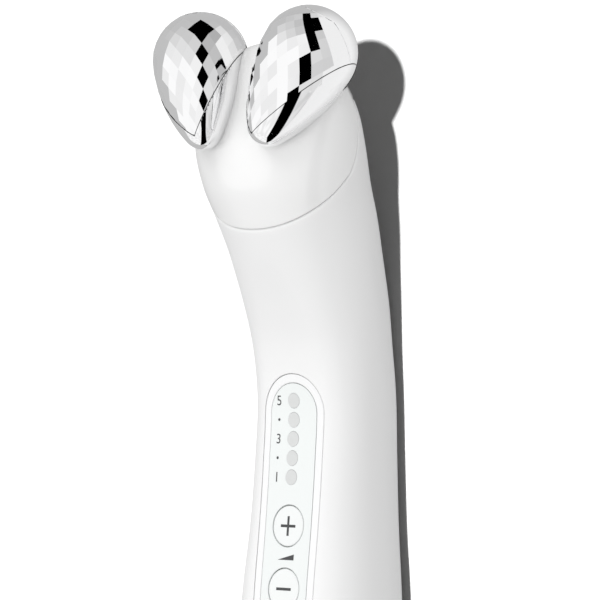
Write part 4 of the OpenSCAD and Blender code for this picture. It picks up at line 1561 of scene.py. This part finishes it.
@dataclass
class Legends:
    """Printed signs of the panel: level numbers and dots, a level wedge, and the button signs.

    The ring of the power sign is told by the angles of its ends, in degrees, and its points.
    """

    maker: Maker
    panel: ControlPanel
    ink_t: float = 0.03
    column_x: float = -4.4
    numbers: tuple[tuple[int, str], ...] = ((0, "5"), (2, "3"), (4, "1"))
    dots: tuple[int, ...] = (1, 3)
    digit_h: float = 2.2
    digit_steps: int = 6
    dot_r: float = 0.32
    wedge: tuple[tuple[float, float], ...] = ((-2.4, -0.55), (2.4, -0.55), (2.4, 0.75))
    bar: float = 0.62
    sign_half: float = 2.2
    power_r: float = 1.55
    power_arc: tuple[float, float, int] = (125.0, 415.0, 41)
    power_stroke: tuple[float, float] = (0.1, 2.1)

    def _stroke(
        self, draft: Draft, low: tuple[float, float], high: tuple[float, float], place: Matrix
    ) -> None:
        """Adds a straight bar of ink.

        Args:
            draft: the mesh in the making.
            low: its first corner.
            high: the corner opposite.
            place: the frame that it stands in.
        """
        (x0, y0), (x1, y1) = low, high
        draft.prism(np.array([[x0, y0], [x1, y0], [x1, y1], [x0, y1]]), 0, self.ink_t, place)

    def _surface(self, y: float, drop: float, x: float = 0.0) -> Matrix:
        """Returns the frame on the panel at height y and distance x from the middle, sunk by drop."""
        return self.maker.form.on_front(y) @ Matrix.Translation((x, 0, -drop))

    def _glyph(self, text: str, place: Matrix) -> tuple[Array, list[list[int]]]:
        """Returns the vertices and faces of a number in Blender's own plain font.

        Args:
            text: the number.
            place: the frame that it stands in, in millimetres.
        """
        curve = bpy.data.curves.new("number", "FONT")
        curve.body = text
        curve.align_x = "CENTER"
        curve.resolution_u = self.digit_steps
        curve.extrude = 0.5
        mesh = plain_mesh(stood("number", curve))
        points = read(mesh.vertices, "co", float, 3)
        low, high = points.min(axis=0), points.max(axis=0)
        scale = self.digit_h / (high[1] - low[1])
        points = (points - (low + high) / 2) * np.array([scale, scale, self.ink_t])
        points[:, 2] += self.ink_t / 2
        faces = [list(p.vertices) for p in mesh.polygons]
        bpy.data.meshes.remove(mesh)
        return moved(points, place), faces

    def _plate_signs(self) -> None:
        """Makes the level numbers beside the first, third and fifth light and the wedge under them."""
        draft, drop = Draft(), self.panel.plate_drop
        for i, text in self.numbers:
            place = self._surface(-i * self.panel.light_pitch, drop, self.column_x)
            points, faces = self._glyph(text, place)
            first = int(draft.add(points)[0])
            draft.faces += [[first + v for v in face] for face in faces]
        wedge_y = (self.panel.button_ys[0] + self.panel.button_ys[1]) / 2
        draft.prism(np.array(self.wedge), 0, self.ink_t, self._surface(wedge_y, drop))
        self.maker.mould("level_numbers", draft, LEGEND_INK, smooth=30)

    def _plate_dots(self) -> None:
        """Makes the dots beside the second and the fourth light."""
        draft, leans = Draft(), []
        for i in self.dots:
            y = -i * self.panel.light_pitch
            place = self._surface(y, self.panel.plate_drop, self.column_x)
            draft.add(moved(np.array([[0, 0, self.ink_t / 2]]), place))
            leans += [self.maker.form.tilt(y), 0.0, 0.0]
        mesh = draft.mesh("dot_places", self.maker.place, outward=False)
        mesh.attributes.new("lean", "FLOAT_VECTOR", "POINT").data.foreach_set("vector", leans)
        ink = self.maker.paint.mix(LEGEND_INK)
        inputs = {"Dot radius": self.dot_r * MM, "Ink thickness": self.ink_t * MM, "Finish": ink}
        self.maker.finish("level_dots", DotRow().make(mesh, inputs), (LEGEND_INK,), smooth=30)

    def _button_signs(self, cap: KeyCap) -> None:
        """Makes the sign of one button.

        Args:
            cap: the button.
        """
        draft, half, far = Draft(), self.bar / 2, self.sign_half
        place = self._surface(cap.y, cap.drop)
        if cap.body is Body.POWER:
            circle = on_circle(np.radians(np.linspace(*self.power_arc)))
            outline = [circle * (self.power_r + half), circle[::-1] * (self.power_r - half)]
            draft.prism(np.concatenate(outline), 0, self.ink_t, place)
            self._stroke(draft, (-half, self.power_stroke[0]), (half, self.power_stroke[1]), place)
        elif cap.body is Body.PLUS:
            cross = [(half, half), (half, far), (-half, far), (-half, half), (-far, half), (-far, -half)]
            outline = np.array(cross + [(-x, -y) for x, y in cross])
            draft.prism(outline, 0, self.ink_t, place)
        else:
            self._stroke(draft, (-far, -half), (far, half), place)
        self.maker.mould(f"{cap.body.value}_sign", draft, LEGEND_INK, body=cap.body, smooth=30)

    def build(self, caps: list[KeyCap]) -> None:
        """Prints the plate and the buttons.

        Args:
            caps: the buttons.
        """
        self._plate_signs()
        self._plate_dots()
        for cap in caps:
            self._button_signs(cap)


@dataclass
class Insides:
    """The CAD solids that are shown as they are: windows, seals, fixings, electronics and leads."""

    maker: Maker

    def build(self) -> None:
        """Dresses every CAD node that is still shown with the finish of its slot."""
        finishes = by_slot()
        for row in frame["record"]["subparts"]:
            node = frame["nodes"][row["node"]]
            if node.hide_render:
                continue
            finish = finishes[row["material_slot"]]
            node.data.materials.clear()
            node.data.materials.append(self.maker.paint.mix(finish))
            LOG.info("%s: %s", row["node"], finish.name)


# ---- Studio --------------------------------------------------------------------------------------


@dataclass(frozen=True)
class Sun:
    """One lamp: the direction towards it, its strength and its width in degrees."""

    name: str
    toward: tuple[float, ...]
    energy: float
    spread: float

    def hang(self) -> bpy.types.Object:
        """Returns the lamp, hung in the scene."""
        data = bpy.data.lights.new(self.name, "SUN")
        data.energy = self.energy
        data.angle = math.radians(self.spread)
        lamp = stood(self.name, data)
        lamp.rotation_mode = "QUATERNION"
        lamp.rotation_quaternion = Vector(self.toward).to_track_quat("Z", "Y")
        return lamp


def all_but(name: str, left_out: list[bpy.types.Object]) -> bpy.types.Collection:
    """Returns a collection for a lamp that lights everything else.

    Args:
        name: its name.
        left_out: what the lamp leaves dark.
    """
    group = bpy.data.collections.new(name)
    for number, one in enumerate(left_out):
        group.objects.link(one)
        group.collection_objects[number].light_linking.link_state = "EXCLUDE"
    return group


@dataclass
class Studio:
    """Floor, lamps, surroundings and camera.

    The picture's sizes are in its own pixels. Each run of four numbers is a ramp: the range that
    goes in, along a direction of the view, and the greys or widths that come out.
    """

    form: BodyForm
    side: float = math.radians(42.74)
    scale: float = 4.437
    focal: float = 4121.0
    image: float = 600.0
    waist_px: tuple[float, float] = (324.8, 399.9)
    level_px: float = 300.0
    roll: float = math.radians(0.18)
    clip: tuple[float, float] = (0.1, 30.0)
    floor_half: float = 350.0
    floor_sink: float = 0.02
    floor_grey: float = 0.2
    floor_shown: float = 0.45
    # painted shade: greys of the floor in the chrome, darker under the wand and on its -X side, where its
    # shadow falls
    floor_mirrored_shade: tuple[float, ...] = (0.0, 0.04, 0.2, 0.34)
    shadow_lamp: Sun = Sun("shadow lamp", (0.44, 0.15, 1.0), 8.8, 2.0)
    matt_key: Sun = Sun("left key", (-0.62, 0.05, 0.75), 0.3, 45)
    room_light: float = 0.16
    gap_at: float = 0.03
    gap_width: tuple[float, ...] = (0.77, 0.87, 0.2, 0.28)
    gap_edge: tuple[float, ...] = (-0.015, 0.015, 0.0, 1.0)
    side_fall: tuple[float, ...] = (-0.3, 0.5, 1.0, 0.74)
    top_fall: tuple[float, ...] = (0.35, 0.95, 1.0, 0.62)
    rib_scale: float = 7.0
    rib_greys: tuple[float, ...] = (0.35, 0.65, 0.9, 1.04)
    back_edge: tuple[float, ...] = (-0.32, -0.27, 1.0, 0.0)
    back_grey: float = 0.56

    @property
    def axes(self) -> tuple[Vector, Vector, Vector]:
        """Returns the directions right and up in the picture, and towards the camera."""
        s, c = math.sin(self.side), math.cos(self.side)
        return Vector((c, 0, -s)), Vector((0, 1, 0)), Vector((s, 0, c))

    def camera(self) -> None:
        """Makes the camera of the photograph."""
        right, up, toward = self.axes
        place, middle = self.form.placing(), self.image / 2

        def at(px: float, py: float) -> Vector:
            """Returns the point beside the waist that shows at a pixel."""
            across = (px - self.waist_px[0]) / self.scale
            along = (self.waist_px[1] - py) / self.scale
            return place @ (right * across + up * along)

        data = bpy.data.cameras.new("camera")
        data.lens = self.focal / self.image * data.sensor_width
        data.clip_start, data.clip_end = self.clip
        camera = stood("camera", data)
        eye = at(middle, self.level_px) + toward * (self.focal / self.scale * MM)
        ahead = (at(middle, middle) - eye).normalized()
        z = -ahead
        x = (Matrix.Rotation(self.roll, 3, ahead) @ up).cross(z).normalized()
        turned = Matrix((x, z.cross(x), z)).transposed().to_4x4()
        camera.matrix_world = Matrix.Translation(eye) @ turned
        bpy.context.scene.camera = camera

    def floor(self) -> bpy.types.Object:
        """Returns the pale floor, which shows white where it is lit and keeps the wand's shadow; in the
        chrome it shows darker under the wand and on its -X side, a painted shade.
        """
        draft = Draft()
        corners = self.floor_half * np.array([[-1, -1, 0], [1, -1, 0], [1, 1, 0], [-1, 1, 0]])
        draft.faces.append(draft.add(corners).tolist())
        place = Matrix.Translation((0, 0, -self.floor_sink * MM)) @ Matrix.Scale(MM, 4)
        mesh = draft.mesh("floor", place, outward=False)
        material = bpy.data.materials.new("floor paper")
        material.use_nodes = True
        tree = material.node_tree
        tree.nodes.clear()
        spot = tree.nodes.new("ShaderNodeTexCoord").outputs["Object"]
        x = add_node(tree, "ShaderNodeSeparateXYZ", {0: spot}).outputs["X"]
        # the floor that the chrome mirrors has painted shade: darker under the wand and on its -X side
        greys = (grey(self.floor_grey), ramp(tree, x, self.floor_mirrored_shade), grey(self.floor_shown))
        papers = [add_node(tree, "ShaderNodeBsdfDiffuse", {"Color": one}).outputs[0] for one in greys]
        add_node(tree, "ShaderNodeOutputMaterial", {"Surface": by_ray(tree, *papers)})
        mesh.materials.append(material)
        floor = stood("floor", mesh)
        return floor

    def lamps(self, floor: bpy.types.Object) -> None:
        """Makes the lamp that throws the shadow on the floor and the soft lamps of the wand.

        Args:
            floor: the floor, which only the first of them lights.
        """
        only = bpy.data.collections.new("floor only")
        only.objects.link(floor)
        self.shadow_lamp.hang().light_linking.receiver_collection = only
        but = all_but("all but the floor", [floor])
        for soft in (
            Sun("sky", (0, 0, 1), 1.4, 175),
            Sun("front", tuple(self.axes[2]), 0.9, 90),
            Sun("upper key", (-0.25, 0.8, 0.6), 0.95, 40),
            Sun("foot key", (-0.3, -0.75, 0.55), 0.3, 60),
        ):
            lamp = soft.hang()
            lamp.light_linking.receiver_collection = but
            lamp.visible_glossy = False
        shiny = [bpy.data.objects[f"diamond_electrode_{side}"] for side in ("left", "right")]
        matt = all_but("all but floor and chrome", [floor, *shiny])
        self.matt_key.hang().light_linking.receiver_collection = matt

    def _mirrored(self, tree: Tree) -> Socket:
        """Returns the greys of the studio that the chrome mirrors, with a dark gap across it.

        Args:
            tree: the nodes of the world.
        """
        way = tree.nodes.new("ShaderNodeTexCoord").outputs["Generated"]
        across, along, ahead = (share_along(tree, way, axis) for axis in self.axes)
        off = maths(tree, "ABSOLUTE", maths(tree, "SUBTRACT", across, self.gap_at))
        gap = maths(tree, "SUBTRACT", off, ramp(tree, along, self.gap_width, smooth=True))
        ribs = noise(tree, way, self.rib_scale, 0.0)
        front = ramp(tree, across, self.side_fall, smooth=True)
        for value, ends in (
            (along, self.top_fall),
            (gap, self.gap_edge),
            (ribs, self.rib_greys),
        ):
            front = maths(tree, "MULTIPLY", front, ramp(tree, value, ends, smooth=True))
        behind = ramp(tree, ahead, self.back_edge, smooth=True)
        inputs = {"Factor": behind, "A": front, "B": self.back_grey}
        return add_node(tree, "ShaderNodeMix", inputs).outputs["Result"]

    def surroundings(self) -> None:
        """Makes the world: white to the camera, a dim room to matt pieces and a studio to chrome."""
        world = bpy.data.worlds.new("studio")
        bpy.context.scene.world = world
        world.use_nodes = True
        tree = world.node_tree
        tree.nodes.clear()
        skies = (
            {"Color": grey(1.0), "Strength": self.room_light},
            {"Color": self._mirrored(tree)},
            {"Color": grey(1.0)},
        )
        shaders = [add_node(tree, "ShaderNodeBackground", sky).outputs[0] for sky in skies]
        add_node(tree, "ShaderNodeOutputWorld", {"Surface": by_ray(tree, *shaders)})

    def build(self) -> None:
        """Sets the stage."""
        bpy.context.scene.view_settings.view_transform = "Standard"
        self.lamps(self.floor())
        self.surroundings()
        self.camera()
        LOG.info("studio: camera, floor and lamps")


def main() -> None:
    """Builds every piece in order, then the studio."""
    logging.basicConfig(level=logging.INFO, format="%(name)s %(message)s")
    form, paint = BodyForm(), PaintShop()
    maker = Maker(form, paint)
    HandleSleeve(maker).build()
    head = HeadCover(maker)
    head.build()
    FootCap(maker).build()
    Electrodes(maker).build(head)
    panel = ControlPanel(maker)
    panel.build()
    buttons = (Body.PLUS, Body.MINUS, Body.POWER)
    caps = [KeyCap(maker, panel, y, body) for y, body in zip(panel.button_ys, buttons)]
    for cap in caps:
        cap.build()
    Legends(maker, panel).build(caps)
    Insides(maker).build()
    Studio(form).build()


if __name__ == "__main__":
    main()
